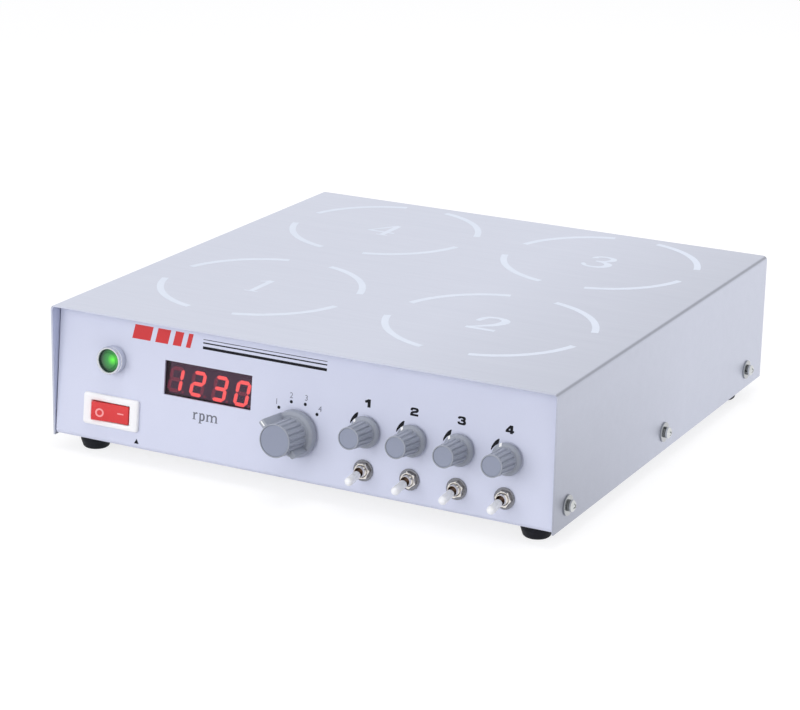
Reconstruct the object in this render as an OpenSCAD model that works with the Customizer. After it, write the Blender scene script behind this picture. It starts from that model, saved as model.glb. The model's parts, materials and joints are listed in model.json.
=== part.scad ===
// Four-place magnetic stirrer: folded steel housing, front controls, and a magnet drive under each place.
// Millimetres, +Z up, front towards -Y. The origin is on the floor, under the centre of the whole object.

/* [Housing] */
// Width of the cover, side to side
body_w = 300; // [290:5:340]
// Depth of the cover, front to rear
body_d = 300; // [290:5:340]
// Height of the cover
cover_h = 74; // [73:1:84]
// Thickness of the cover's sheet
cover_t = 1; // [0.8:0.1:1.5]
// Thickness of the chassis sheet
chassis_t = 1.2; // [1:0.1:1.6]
// Outside radius of every fold
bend_r = 2.6; // [2:0.1:3.5]
// Lean of the front panel from upright, in degrees
panel_lean = 6; // [0:0.5:8]
// How far the foot of the front panel lies behind the cover's front edge
panel_back = 0.6; // [0.3:0.1:3]
// How far the rear panel lies inside the cover's rear edge
rear_back = 1; // [0.5:0.1:4]
// Height of the chassis floor above the cover's lower edge
chassis_lift = 0.5; // [0.2:0.1:1.5]
// Gap between the cover and the edges of the chassis
seam = 0.3; // [0.1:0.1:0.6]
// Depth of the lips under the top plate
lip_d = 14; // [8:1:16]
// Height of the chassis side walls
wall_h = 20; // [18:1:26]

/* [Feet] */
// Height of a foot
foot_h = 9.2; // [7:0.1:12]
// Diameter of a foot
foot_d = 17; // [15:0.5:20]
// Radius of a foot's lower edge
foot_edge = 2.5; // [1:0.5:3]
// Distance of a front foot's axis from the cover's side
foot_front_x = 16.5; // [14:0.5:24]
// Distance of a front foot's axis from the cover's front edge
foot_front_y = 17.3; // [15:0.1:26]
// Distance of a rear foot's axis from the cover's side
foot_rear_x = 14; // [13:0.5:24]
// Distance of a rear foot's axis from the cover's rear edge
foot_rear_y = 25; // [15:0.5:28]

/* [Screws] */
// Radius of a screw's shank
screw_r = 1.5; // [1.3:0.1:2]
// Height of a side screw above the cover's lower edge
side_screw_z = 11; // [9:0.5:13]
// Distance of the front side screws from the cover's front edge
side_screw_front = 16.5; // [15:0.5:30]
// Distance of the rear side screws from the cover's rear edge
side_screw_rear = 25.5; // [15:0.5:30]
// Length of a side screw's shank
side_screw_len = 9; // [8:0.5:10]
// Diameter of a plain washer
washer_d = 11; // [9:0.5:12]

/* [Places] */
// Spacing of the stirring places, side to side
place_dx = 140; // [136:1:150]
// Distance of the front places from the cover's front edge
place_front = 91; // [86:0.5:95]
// Distance of the rear places from the cover's rear edge
place_rear = 64; // [63:0.5:70]
// Diameter of a drive rotor
rotor_d = 56; // [50:1:60]
// Diameter of a motor
motor_d = 37; // [33:0.5:38]
// Length of a motor
motor_h = 33; // [28:0.5:34]
// Radius of a motor's spindle
spindle_r = 2.5; // [2:0.1:3]

/* [Lamp and power switch] */
// Distance of the lamp and the power switch from the cover's left side
left_in = 37; // [34:0.5:40]
// Height of the lamp along the panel
lamp_v = 48; // [46:0.5:52]
// Diameter of the lamp's bezel
lamp_d = 15.3; // [14:0.1:17]
// How far the lamp stands out
lamp_out = 6.4; // [5:0.1:8]
// Height of the power switch along the panel
switch_v = 18.9; // [17:0.1:21]
// Width of the power switch's frame
switch_w = 35; // [33:0.5:37]
// Height of the power switch's frame
switch_h = 17.6; // [17:0.1:19]
// How far the power switch's frame stands out
switch_out = 2; // [1.5:0.1:2.6]
// Length of the rocker
rocker_w = 24.4; // [23:0.1:25]
// Height of the rocker
rocker_h = 10.6; // [10:0.1:11]
// Tilt of the rocker to either side, in degrees
rocker_tilt = 8; // [5:0.5:9]

/* [Display] */
// Place of the display across the panel
display_x = -54; // [-56:0.5:-52]
// Height of the display along the panel
display_v = 43.3; // [42:0.1:46]
// Width of the display's cut-out
display_w = 53.8; // [52:0.1:56]
// Height of the display's cut-out
display_h = 18.8; // [18:0.1:20]
// Thickness of the tinted window
window_t = 1.5; // [1:0.1:2]

/* [Selector] */
// Place of the selector across the panel
selector_x = 1.1; // [-1:0.1:3]
// Height of the selector along the panel
selector_v = 26.8; // [25:0.1:29]
// Diameter of the selector knob's skirt
selector_skirt_d = 25.8; // [25:0.1:28]
// Diameter of the selector knob's grip
selector_grip_d = 18.3; // [17.6:0.1:19]
// How far the selector knob stands out
selector_top = 23; // [21:0.1:25]
// Direction of the selector's pointer at rest, in degrees from the right
selector_rest = 135; // [45:30:135]

/* [Speed controls] */
// Distance of the last column of controls from the cover's right side
column_in = 28.05; // [26:0.05:30]
// Spacing of the columns
column_pitch = 26.75; // [25:0.05:27]
// Height of the speed knobs along the panel
speed_v = 34.5; // [33:0.1:36]
// Diameter of a speed knob's skirt
speed_skirt_d = 17.6; // [17:0.1:19]
// Diameter of a speed knob's grip
speed_grip_d = 13; // [12.4:0.1:14]
// How far a speed knob stands out
speed_top = 19.4; // [18:0.1:20.5]
// Height of the toggle switches along the panel
toggle_v = 14; // [13:0.1:15]
// Tilt of a toggle lever to either side, in degrees
toggle_tilt = 12.8; // [8:0.1:13]
// Length of a toggle lever from its pivot to its tip
toggle_len = 15.5; // [12:0.5:17]

/* [Rear] */
// Distance of the cord gland from the cover's side
gland_side = 32; // [28:1:40]
// Distance of the fuse holder from the cord gland
fuse_gap = 30; // [24:1:40]
// Height of the gland and the fuse holder above the cover's lower edge
rear_v = 25; // [22:1:32]
// Radius of the gland's bore
gland_bore_r = 3.7; // [3:0.1:4]
// How far the gland stands out
gland_out = 10; // [8:0.5:10.5]
// How far the fuse cap stands out
fuse_out = 11; // [10.6:0.1:13]

/* [Fits] */
// Gap between two pieces that sit on each other
seat = 0.05; // [0.02:0.01:0.1]
// Radial clearance of a shaft that turns in a hole
running = 0.05; // [0.02:0.01:0.08]
// Radial clearance of a bush or screw in its hole
loose = 0.2; // [0.15:0.05:0.3]

/* [Hidden] */
$fn = 64;

// Front panel's directions, and how far the outermost pieces reach past the cover
sin_lean = sin(panel_lean);
cos_lean = cos(panel_lean);
front_reach = selector_top * cos_lean - (selector_v - selector_grip_d / 2) * sin_lean - panel_back;
rear_reach = fuse_out - rear_back;
front_y = (front_reach - rear_reach - body_d) / 2;
rear_y = front_y + body_d - rear_back;
panel_y = front_y + panel_back;

// Levels
base_z = foot_h - chassis_lift;
top_z = base_z + cover_h;
under_top = top_z - cover_t;
floor_top = foot_h + chassis_t;
lip_z = under_top - seam;

// Chassis folds: half width, and the centres of the two folds of the leaning panel
chassis_half = body_w / 2 - cover_t - seam;
low_v = (chassis_lift + bend_r + bend_r * sin_lean) / cos_lean;
low_y = panel_y + low_v * sin_lean + bend_r * cos_lean;
high_v = (lip_z - base_z - bend_r + bend_r * sin_lean) / cos_lean;
high_y = panel_y + high_v * sin_lean + bend_r * cos_lean;
relief = 2;
wall_y = [low_y + 3 * relief, rear_y - bend_r - 3 * relief];
nut_h = 2.8;
nut_r = 2 * screw_r + 0.5;
vent_w = 3;
vent_h = 26;
vent_pitch = 9;
vent_count = 11;
vent_v = 38;

// Places of the repeated pieces
place = [for (p = [[-1, 0], [1, 0], [1, 1], [-1, 1]])
    [p[0] * place_dx / 2, front_y + (p[1] > 0 ? body_d - place_rear : place_front)]];
foot_place = [for (sx = [-1, 1])
    each [[sx * (body_w / 2 - foot_front_x), front_y + foot_front_y],
        [sx * (body_w / 2 - foot_rear_x), front_y + body_d - foot_rear_y]]];
side_screw_y = [front_y + side_screw_front, front_y + (body_d + side_screw_front - side_screw_rear) / 2,
    front_y + body_d - side_screw_rear];
left_x = left_in - body_w / 2;
column = [for (i = [0:3]) body_w / 2 - column_in - (3 - i) * column_pitch];
speed_rest = [135, 129, 129, 114];
gland_x = body_w / 2 - gland_side;
fuse_x = gland_x - fuse_gap;

// Screw heads and washers
head_r = 2 * screw_r + 0.1;
head_rim = 1.1;
head_dome = 1.5;
head_h = head_rim + head_dome;
cross_w = 0.9;
cross_d = 1.2;
washer_t = 0.8;
spring_t = 1;
spring_d = 4 * screw_r;
spring_split = 0.8;
foot_sink_r = head_r + 0.4;
foot_sink = head_h + 0.8;
foot_screw_len = foot_h - foot_sink + chassis_t + nut_h - 0.4;

// Lamp
lamp_barrel_r = 5.9;
lamp_barrel = 18;
lamp_lens_r = 6.2;
lamp_cup = 4;
lamp_nut_h = 3;
lamp_nut_r = 9;

// Power switch
switch_body_w = rocker_w + 4.2;
switch_body_h = rocker_h + 2.6;
switch_depth = 20;
switch_corner = 1.6;
rocker_gap = 0.35;
rocker_pivot = -1;
rocker_floor = -4;
rocker_face = 2.4;
rocker_rise = 1.2;
rocker_pin_r = 1.2;
blade = [0.8, 4.8, 8];

// Display
window_margin = 2;
module_gap = 0.3;
module_size = [50.3, 17.6, 8];
board_t = 1.6;
display_board_size = [70, 34];
display_back = chassis_t + seat + window_t + module_gap + module_size[2];
spacer_r = 2.5;
spacer_hole_r = 1.3;
spacer_in = 3.5;

// Knobs: a skirt, a fluted grip and a hollow underside over the nut
knob_lift = 0.8;
shaft_r = 3;
flat_in = 0.9;
press = 0.02;
roof_gap = 0.6;
shaft_roof = 3;
shaft_under = shaft_roof + 0.3;
shaft_end = 0.1;
selector_skirt_h = 4.8;
selector_hollow_r = 7.6;
selector_bush_r = 4.5;
selector_bush = 6;
selector_nut_r = 6.93;
selector_nut_h = 2.5;
selector_shaft_in = 9;
selector_depth = 14;
wafer_r = 14;
fin_w = 3.6;
pointer_reach = selector_skirt_d / 2 + 0.1;
pointer_under = 0.8;
tail_reach = selector_skirt_d / 2 - 0.7;
tail_under = 6;
speed_skirt_h = 3;
speed_hollow_r = 6.2;
speed_bush_r = 3.5;
speed_bush = 5;
speed_nut_r = 5.77;
speed_nut_h = 2;
speed_shaft_in = 6;
can_r = 8.2;
can_depth = 10;
can_lug = [2, 4, 0.8];
can_lug_pitch = 4;
can_lug_at = 2 - can_depth;
cap_t = 1;
cap_rim = 0.7;
cap_sink = 0.15;
cap_dish = 0.25;

// Toggle switches
toggle_bush_r = 3;
toggle_bush = 5.5;
toggle_bore_r = 2.3;
toggle_pivot = 3;
toggle_neck_r = 1.3;
toggle_neck = 3.5;
toggle_low_r = 2.2;
toggle_tip_r = 2.45;
toggle_washer_r = 5.7;
toggle_washer_t = 0.6;
toggle_nut_r = 4.62;
toggle_nut_h = 2.2;
toggle_body = [8, 13, 10];
toggle_lug = [1.6, 0.8, 4];
toggle_lug_pitch = 4.6;
toggle_depth = chassis_t + toggle_body[2] + toggle_lug[2];

// Drives, from the top plate down
magnet_r = 7;
magnet_h = 11;
magnet_sink = 3;
magnet_reach = 18;
magnet_gap = 4;
rotor_t = 5;
rotor_boss_r = 8;
rotor_boss = 7;
rotor_top = under_top - magnet_gap - magnet_h + magnet_sink;
bracket_t = 2;
bracket_top = rotor_top - rotor_t - rotor_boss - 3;
bracket_w = motor_d + 9;
bracket_d = 60;
bracket_foot = 9;
motor_boss_r = 6;
spindle_len = 20;
sensor = [9, 12, 5];
sensor_out = 22;

// Transformer and control board
core_size = [57, 25, 48];
core_window = [9.5, 28.5];
core_leg = 19;
coil_over = 9;
coil_gap = 0.3;
transformer_rear = 72;
transformer_y = front_y + body_d - transformer_rear;
board_size = [78, 104];
board_front = 112;
board_y = front_y + board_front;
board_lift = 8;
board_z = floor_top + board_lift + seat;
stud_r = 2.5;
stud_in = 5;
board_hole_r = 1.6;
capacitor_r = 5;
capacitor_h = 18;
capacitor_pitch = 16;
capacitor_y = 30;
chip = [16, 10, 6];
chip_pitch = 24;
chip_y = -10;
plug_row = [56, 8, 10];
plug_row_y = -42;

// Rear fittings
gland_r = 6.2;
gland_flange_r = 9;
gland_flange = 3;
gland_in = 8;
fuse_r = 6;
fuse_flange_r = 8;
fuse_flange = 2;
fuse_len = 30;
fuse_bore_r = 4;
fuse_bore = 20;
fuse_cap_r = 6.4;

// A frame on the front panel: X to the right, Y up along the panel, Z straight out of it
module on_panel(x, v) {
    translate([0, panel_y, base_z]) rotate([90 - panel_lean, 0, 0]) translate([x, v, 0]) children();
}

// A frame on the rear panel: Y up, Z straight out of it
module on_rear(x, v) {
    translate([x, rear_y, base_z + v]) rotate([90, 0, 180]) children();
}

// A frame on one of the cover's sides: Z straight out of it
module on_side(side, y) {
    translate([side * body_w / 2, y, base_z + side_screw_z]) rotate([0, side * 90, 0]) children();
}

// A cylinder between two heights
module rod(r, from, to) {
    translate([0, 0, from]) cylinder(r = r, h = to - from);
}

// A ring between two heights
module ring(r, hole, from, to) {
    difference() {
        rod(r, from, to);
        rod(hole, from - 1, to + 1);
    }
}

// A six-sided nut, r to its corners
module hex_nut(r, hole, from, to) {
    difference() {
        translate([0, 0, from]) cylinder(r = r, h = to - from, $fn = 6);
        rod(hole, from - 1, to + 1);
    }
}

// A plate centred on the Z axis between two heights
module plate(w, h, from, to) {
    translate([-w / 2, -h / 2, from]) cube([w, h, to - from]);
}

// A plate with round corners
module round_plate(w, h, r, from, to) {
    plate(w - 2 * r, h, from, to);
    plate(w, h - 2 * r, from, to);
    for (sx = [-1, 1], sy = [-1, 1])
        translate([sx * (w / 2 - r), sy * (h / 2 - r), 0]) rod(r, from, to);
}

// The section of a folded sheet, between two directions
module fold(r, t, from, to) {
    steps = 3;
    fan = [for (i = [0:steps]) let (a = from + (to - from) * i / steps) 3 * r * [cos(a), sin(a)]];
    intersection() {
        difference() {
            circle(r);
            circle(r - t);
        }
        polygon(concat([[0, 0]], fan));
    }
}

// A screw with a domed head and a cross recess, its head on the XY plane and its shank below
module screw(len) {
    dome_r = (head_r * head_r + head_dome * head_dome) / (2 * head_dome);
    rod(screw_r, -len, 0.01);
    difference() {
        union() {
            rod(head_r, 0, head_rim);
            intersection() {
                translate([0, 0, head_h - dome_r]) sphere(dome_r);
                rod(head_r, head_rim - 0.01, head_h + 1);
            }
        }
        plate(cross_w, head_r * 1.2, head_h - cross_d, head_h + 1);
        plate(head_r * 1.2, cross_w, head_h - cross_d, head_h + 1);
    }
}

// A point of the front panel in the side view
function on_face(v, n) = [panel_y + v * sin_lean - n * cos_lean, base_z + v * cos_lean + n * sin_lean];

// The chassis in the side view: front lip, leaning panel, floor, rear panel, rear lip
module chassis_section() {
    floor_end = rear_y - bend_r;
    translate([low_y, foot_h]) square([floor_end - low_y, chassis_t]);
    translate([low_y, foot_h + bend_r]) fold(bend_r, chassis_t, 180 - panel_lean, 270);
    polygon([on_face(low_v, 0), on_face(high_v, 0), on_face(high_v, -chassis_t), on_face(low_v, -chassis_t)]);
    translate([high_y, lip_z - bend_r]) fold(bend_r, chassis_t, 90, 180 - panel_lean);
    translate([high_y, lip_z - chassis_t]) square([lip_d, chassis_t]);
    translate([floor_end, foot_h + bend_r]) fold(bend_r, chassis_t, -90, 0);
    translate([rear_y - chassis_t, foot_h + bend_r]) square([chassis_t, lip_z - foot_h - 2 * bend_r]);
    translate([floor_end, lip_z - bend_r]) fold(bend_r, chassis_t, 0, 90);
    translate([floor_end - lip_d, lip_z - chassis_t]) square([lip_d, chassis_t]);
}

// A side wall of the chassis in the front view
module wall_section() {
    translate([chassis_half - bend_r, foot_h + bend_r]) fold(bend_r, chassis_t, -90, 0);
    translate([chassis_half - chassis_t, foot_h + bend_r]) square([chassis_t, wall_h - bend_r]);
}

// Weld nuts, and studs under the control board
module chassis_fixings() {
    for (side = [-1, 1], y = side_screw_y)
        on_side(side, y) translate([0, 0, chassis_half - body_w / 2])
            cylinder_nut(-chassis_t - nut_h, -chassis_t + 0.01);
    for (p = foot_place)
        translate([p[0], p[1], 0]) cylinder_nut(floor_top - 0.01, floor_top + nut_h);
    for (sx = [-1, 1], sy = [-1, 1])
        translate([sx * (board_size[0] / 2 - stud_in), board_y + sy * (board_size[1] / 2 - stud_in), 0])
            rod(stud_r, floor_top - 0.01, floor_top + board_lift);
}

// A weld nut's body
module cylinder_nut(from, to) {
    translate([0, 0, from]) cylinder(r = nut_r, h = to - from, $fn = 6);
}

// Everything that is cut out of the chassis
module chassis_cuts() {
    depth = chassis_t + 1;
    hole = screw_r + loose / 4;
    for (side = [-1, 1])
        translate([side > 0 ? chassis_half - bend_r : -chassis_half - 1, wall_y[0] - relief, foot_h - 1])
            cube([bend_r + 1, wall_y[1] - wall_y[0] + 2 * relief, chassis_t + bend_r + 1]);
    on_panel(left_x, lamp_v) rod(lamp_barrel_r + loose, -depth, 1);
    on_panel(left_x, switch_v) plate(switch_body_w + 2 * loose, switch_body_h + 2 * loose, -depth, 1);
    on_panel(display_x, display_v) plate(display_w, display_h, -depth, 1);
    on_panel(selector_x, selector_v) rod(selector_bush_r + loose, -depth, 1);
    for (x = column) {
        on_panel(x, speed_v) rod(speed_bush_r + loose, -depth, 1);
        on_panel(x, toggle_v) rod(toggle_bush_r + loose, -depth, 1);
    }
    for (p = foot_place)
        translate([p[0], p[1], 0]) rod(hole, foot_h - 1, floor_top + nut_h + 1);
    on_rear(gland_x, rear_v) rod(gland_r + loose, -depth, 1);
    on_rear(fuse_x, rear_v) rod(fuse_r + loose, -depth, 1);
    for (i = [0:vent_count - 1])
        on_rear((i - (vent_count - 1) / 2) * vent_pitch, vent_v) vent_slot(-depth, 1);
}

// An upright slot with round ends
module vent_slot(from, to) {
    plate(vent_w, vent_h - vent_w, from, to);
    for (s = [-1, 1])
        translate([0, s * (vent_h - vent_w) / 2, 0]) rod(vent_w / 2, from, to);
}

module chassis() {
    color("Lavender") {
        difference() {
            union() {
                difference() {
                    translate([-chassis_half, 0, 0]) rotate([90, 0, 90])
                        linear_extrude(2 * chassis_half) chassis_section();
                    chassis_cuts();
                }
                for (side = [0, 1])
                    mirror([side, 0, 0]) translate([0, wall_y[1], 0]) rotate([90, 0, 0])
                        linear_extrude(wall_y[1] - wall_y[0]) wall_section();
                chassis_fixings();
            }
            for (side = [-1, 1], y = side_screw_y)
                on_side(side, y) rod(screw_r + loose / 4, -cover_t - seam - chassis_t - nut_h - 1, 1);
            for (p = foot_place)
                translate([p[0], p[1], 0]) rod(screw_r + loose / 4, foot_h - 1, floor_top + nut_h + 1);
        }
    }
}

// An upright rectangle standing on the X axis, with its upper corners rounded
module arch(w, h, r) {
    translate([-w / 2, 0]) square([w, h - r]);
    translate([-w / 2 + r, 0]) square([w - 2 * r, h]);
    for (s = [-1, 1])
        translate([s * (w / 2 - r), h - r]) circle(r);
}

module top_cover() {
    color("Silver")
        difference() {
            translate([0, front_y + body_d, base_z]) rotate([90, 0, 0]) linear_extrude(body_d)
                difference() {
                    arch(body_w, cover_h, bend_r);
                    translate([0, -1]) arch(body_w - 2 * cover_t, cover_h - cover_t + 1, bend_r - cover_t);
                }
            for (side = [-1, 1], y = side_screw_y)
                on_side(side, y) rod(screw_r + loose, -cover_t - 1, 1);
        }
}

module cover_screws() {
    color("Silver")
        for (side = [-1, 1], y = side_screw_y)
            on_side(side, y) translate([0, 0, washer_t + spring_t + 3 * seat]) screw(side_screw_len);
}

module cover_spring_washers() {
    color("DimGray")
        for (side = [-1, 1], y = side_screw_y)
            on_side(side, y) translate([0, 0, washer_t + 2 * seat])
                difference() {
                    ring(spring_d / 2, screw_r + loose, 0, spring_t);
                    rotate([0, 0, 40]) translate([0, -spring_split / 2, -1])
                        cube([spring_d, spring_split, spring_t + 2]);
                }
}

module cover_washers() {
    color("Silver")
        for (side = [-1, 1], y = side_screw_y)
            on_side(side, y) ring(washer_d / 2, screw_r + loose, seat, seat + washer_t);
}

module feet() {
    low_r = foot_d / 2 - foot_edge;
    color("Black")
        for (p = foot_place)
            translate([p[0], p[1], 0])
                difference() {
                    union() {
                        rod(low_r, 0, foot_h - seat);
                        rod(foot_d / 2, foot_edge, foot_h - seat);
                        rotate_extrude() translate([low_r, foot_edge]) circle(foot_edge);
                    }
                    rod(foot_sink_r, -1, foot_sink);
                    rod(screw_r + loose, 0, foot_h + 1);
                }
}

module foot_screws() {
    color("Silver")
        for (p = foot_place)
            translate([p[0], p[1], foot_sink - seat]) rotate([180, 0, 0]) screw(foot_screw_len);
}

module lamp_bezel() {
    lip_r = lamp_d / 2 - 0.25;
    color("Gainsboro")
        on_panel(left_x, lamp_v) rotate_extrude()
            difference() {
                polygon([[0, -lamp_barrel], [lamp_barrel_r, -lamp_barrel], [lamp_barrel_r, seat],
                    [lamp_d / 2, seat], [lamp_d / 2, lamp_out - 1.6], [lip_r, lamp_out - 0.5],
                    [lip_r - 0.4, lamp_out], [0, lamp_out]]);
                translate([0, lamp_out - lamp_cup]) square([lamp_lens_r, lamp_cup + 1]);
                translate([0, 1 - lamp_barrel]) square([lamp_barrel_r - 1.4, lamp_barrel + lamp_out]);
            }
}

module lamp_lens() {
    dome_r = 14;
    r = lamp_lens_r - seat;
    top = lamp_out - 0.4;
    color("ForestGreen")
        on_panel(left_x, lamp_v)
            intersection() {
                rod(r, lamp_out - lamp_cup + seat, top + 1);
                translate([0, 0, top - dome_r]) sphere(dome_r);
            }
}

module lamp_nut() {
    color("Silver")
        on_panel(left_x, lamp_v)
            hex_nut(lamp_nut_r, lamp_barrel_r + loose / 2, -chassis_t - seat - lamp_nut_h, -chassis_t - seat);
}

// The room in the switch that the rocker turns in
module rocker_room() {
    plate(rocker_w + 2 * rocker_gap, rocker_h + 2 * rocker_gap, rocker_floor - 3, switch_out + 1);
}

module power_switch_body() {
    wall = (switch_body_h - rocker_h) / 2 - rocker_gap;
    color("White")
        on_panel(left_x, switch_v)
            difference() {
                union() {
                    round_plate(switch_w, switch_h, switch_corner, seat, switch_out * 0.55);
                    round_plate(switch_w - 1.6, switch_h - 1.6, switch_corner, seat, switch_out);
                    plate(switch_body_w, switch_body_h, -switch_depth, seat + 0.01);
                }
                rocker_room();
                translate([0, 0, rocker_pivot]) rotate([90, 0, 0])
                    rod(rocker_pin_r + running, -rocker_h / 2 - rocker_gap - wall / 2 - seat,
                        rocker_h / 2 + rocker_gap + wall / 2 + seat);
            }
}

module power_rocker() {
    half = rocker_w / 2;
    wall = (switch_body_h - rocker_h) / 2 - rocker_gap;
    face = rocker_face - rocker_pivot;
    edge = face + rocker_rise;
    color("Crimson")
        on_panel(left_x, switch_v) translate([0, 0, rocker_pivot]) rotate([0, rocker_tilt, 0]) {
            rotate([90, 0, 0]) translate([0, 0, -rocker_h / 2]) linear_extrude(rocker_h)
                intersection() {
                    circle(half);
                    polygon([[-half, rocker_floor - rocker_pivot], [half, rocker_floor - rocker_pivot],
                        [half, edge], [1.5, face], [-1.5, face], [-half, edge]]);
                }
            rotate([90, 0, 0]) rod(rocker_pin_r, -rocker_h / 2 - rocker_gap - wall / 2,
                rocker_h / 2 + rocker_gap + wall / 2);
        }
}

module power_terminals() {
    color("Goldenrod")
        on_panel(left_x, switch_v)
            for (x = [-7, 0, 7])
                translate([x, 0, -switch_depth - seat - blade[2]])
                    translate([-blade[0] / 2, -blade[1] / 2, 0]) cube(blade);
}

module display_window() {
    color("DarkRed", 0.6)
        on_panel(display_x, display_v)
            plate(display_w + 2 * window_margin, display_h + 2 * window_margin,
                -chassis_t - seat - window_t, -chassis_t - seat);
}

module display_module() {
    front = -chassis_t - seat - window_t - module_gap;
    color("DimGray")
        on_panel(display_x, display_v)
            plate(module_size[0], module_size[1], front - module_size[2], front);
}

// The display board's corner holes
module at_display_corners() {
    reach = display_board_size / 2 - [spacer_in, spacer_in];
    for (sx = [-1, 1], sy = [-1, 1])
        translate([sx * reach[0], sy * reach[1], 0]) children();
}

module display_board() {
    color("DarkGreen")
        on_panel(display_x, display_v)
            difference() {
                plate(display_board_size[0], display_board_size[1],
                    -display_back - seat - board_t, -display_back - seat);
                at_display_corners() rod(board_hole_r, -display_back - 3, 0);
            }
}

module display_spacers() {
    color("Gold")
        on_panel(display_x, display_v)
            at_display_corners() hex_nut(spacer_r, spacer_hole_r, -display_back, -chassis_t - seat);
}

// The fluted grip of a knob
module grip(r, from, to, flutes, flute_r) {
    difference() {
        rod(r, from, to);
        for (i = [0:flutes - 1])
            rotate([0, 0, 90 + (i + 0.5) * 360 / flutes]) translate([r + flute_r * 0.35, 0, 0])
                rod(flute_r, from + 1.2, to + 1);
    }
}

// The hole in a knob for its shaft, flat on one side
module shaft_hole(from, to) {
    difference() {
        rod(shaft_r + press, from, to);
        translate([-shaft_r, shaft_r - flat_in + press, from - 1])
            cube([2 * shaft_r, shaft_r, to - from + 2]);
    }
}

// A shaft with a flat at its outer end
module shaft(from, flat_from, to) {
    difference() {
        rod(shaft_r, from, to);
        translate([-shaft_r, shaft_r - flat_in, flat_from]) cube([2 * shaft_r, shaft_r, to]);
    }
}

// The round inlay in a knob's face, dished like a spun disc
module knob_cap(r, top) {
    face = top - cap_sink;
    rotate_extrude()
        polygon([[0, face - cap_t], [r, face - cap_t], [r, face], [0, face - cap_dish]]);
}

// A fin from the knob's axis outwards
module fin(reach, from, to) {
    translate([-fin_w / 2, 0, from]) cube([fin_w, reach, to - from]);
}

module selector_knob() {
    skirt_r = selector_skirt_d / 2;
    grip_r = selector_grip_d / 2;
    roof = selector_bush + roof_gap;
    skirt_top = knob_lift + selector_skirt_h;
    color("SlateGray")
        on_panel(selector_x, selector_v) rotate([0, 0, selector_rest - 90])
            difference() {
                union() {
                    rotate_extrude()
                        polygon([[0, knob_lift], [skirt_r, knob_lift], [skirt_r, knob_lift + 1.2],
                            [skirt_r - 0.8, skirt_top - 1.2], [skirt_r - 2.4, skirt_top], [0, skirt_top]]);
                    grip(grip_r, skirt_top - 0.5, selector_top, 20, 0.8);
                    fin(pointer_reach, skirt_top - 2, selector_top - pointer_under);
                    rotate([0, 0, 180]) fin(tail_reach, skirt_top - 2, selector_top - tail_under);
                }
                rod(selector_hollow_r, 0, roof);
                shaft_hole(roof - 1, selector_top - shaft_roof);
                rod(grip_r - cap_rim, selector_top - cap_t - cap_sink - seat, selector_top + 1);
            }
}

module selector_cap() {
    color("LightSteelBlue")
        on_panel(selector_x, selector_v) knob_cap(selector_grip_d / 2 - cap_rim - seat, selector_top);
}

module selector_shaft() {
    color("Silver")
        on_panel(selector_x, selector_v) rotate([0, 0, selector_rest - 90])
            shaft(-selector_shaft_in, selector_bush + roof_gap, selector_top - shaft_under);
}

module selector_switch() {
    color("Tan")
        on_panel(selector_x, selector_v)
            difference() {
                union() {
                    rod(selector_bush_r, -chassis_t - 1, selector_bush);
                    rod(wafer_r, -selector_depth, -chassis_t - seat);
                }
                rod(shaft_r + running, -selector_shaft_in - shaft_end, selector_bush + 1);
            }
}

module selector_nut() {
    color("Silver")
        on_panel(selector_x, selector_v)
            hex_nut(selector_nut_r, selector_bush_r + loose / 2, seat, selector_nut_h + seat);
}

module speed_knob(i) {
    skirt_r = speed_skirt_d / 2;
    grip_r = speed_grip_d / 2;
    roof = speed_bush + roof_gap;
    skirt_top = knob_lift + speed_skirt_h;
    color("SlateGray")
        on_panel(column[i - 1], speed_v) rotate([0, 0, speed_rest[i - 1] - 90])
            difference() {
                union() {
                    rotate_extrude()
                        polygon([[0, knob_lift], [skirt_r, knob_lift], [skirt_r, knob_lift + 1],
                            [skirt_r - 0.6, skirt_top - 0.8], [skirt_r - 1.6, skirt_top], [0, skirt_top]]);
                    grip(grip_r, skirt_top - 0.5, speed_top, 16, 0.65);
                }
                rod(speed_hollow_r, 0, speed_nut_h + 0.8);
                rod(speed_bush_r + 0.4, 0, roof);
                shaft_hole(roof - 1, speed_top - shaft_roof);
                rod(grip_r - cap_rim, speed_top - cap_t - cap_sink - seat, speed_top + 1);
            }
}

module speed_cap(i) {
    color("LightSteelBlue")
        on_panel(column[i - 1], speed_v) knob_cap(speed_grip_d / 2 - cap_rim - seat, speed_top);
}

module speed_shaft(i) {
    color("Silver")
        on_panel(column[i - 1], speed_v) rotate([0, 0, speed_rest[i - 1] - 90])
            shaft(-speed_shaft_in, speed_bush + roof_gap, speed_top - shaft_under);
}

module potentiometers() {
    color("Silver")
        for (x = column)
            on_panel(x, speed_v)
                difference() {
                    union() {
                        rod(speed_bush_r, -chassis_t - 1, speed_bush);
                        rod(can_r, -can_depth, -chassis_t - seat);
                        for (lug = [-1, 0, 1])
                            translate([lug * can_lug_pitch, -can_r, 0])
                                plate(can_lug[0], 2 * can_lug[1], can_lug_at, can_lug_at + can_lug[2]);
                    }
                    rod(shaft_r + running, -speed_shaft_in - shaft_end, speed_bush + 1);
                }
}

module potentiometer_nuts() {
    color("Silver")
        for (x = column)
            on_panel(x, speed_v)
                hex_nut(speed_nut_r, speed_bush_r + loose / 2, seat, speed_nut_h + seat);
}

module toggle_lever(i) {
    color("White")
        on_panel(column[i - 1], toggle_v) translate([0, 0, toggle_pivot]) rotate([toggle_tilt, 0, 0]) {
            sphere(toggle_bore_r - running);
            rod(toggle_neck_r, 0, toggle_neck + 0.5);
            translate([0, 0, toggle_neck])
                cylinder(r1 = toggle_low_r, r2 = toggle_tip_r, h = toggle_len - toggle_tip_r - toggle_neck);
            translate([0, 0, toggle_len - toggle_tip_r]) sphere(toggle_tip_r);
        }
}

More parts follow.
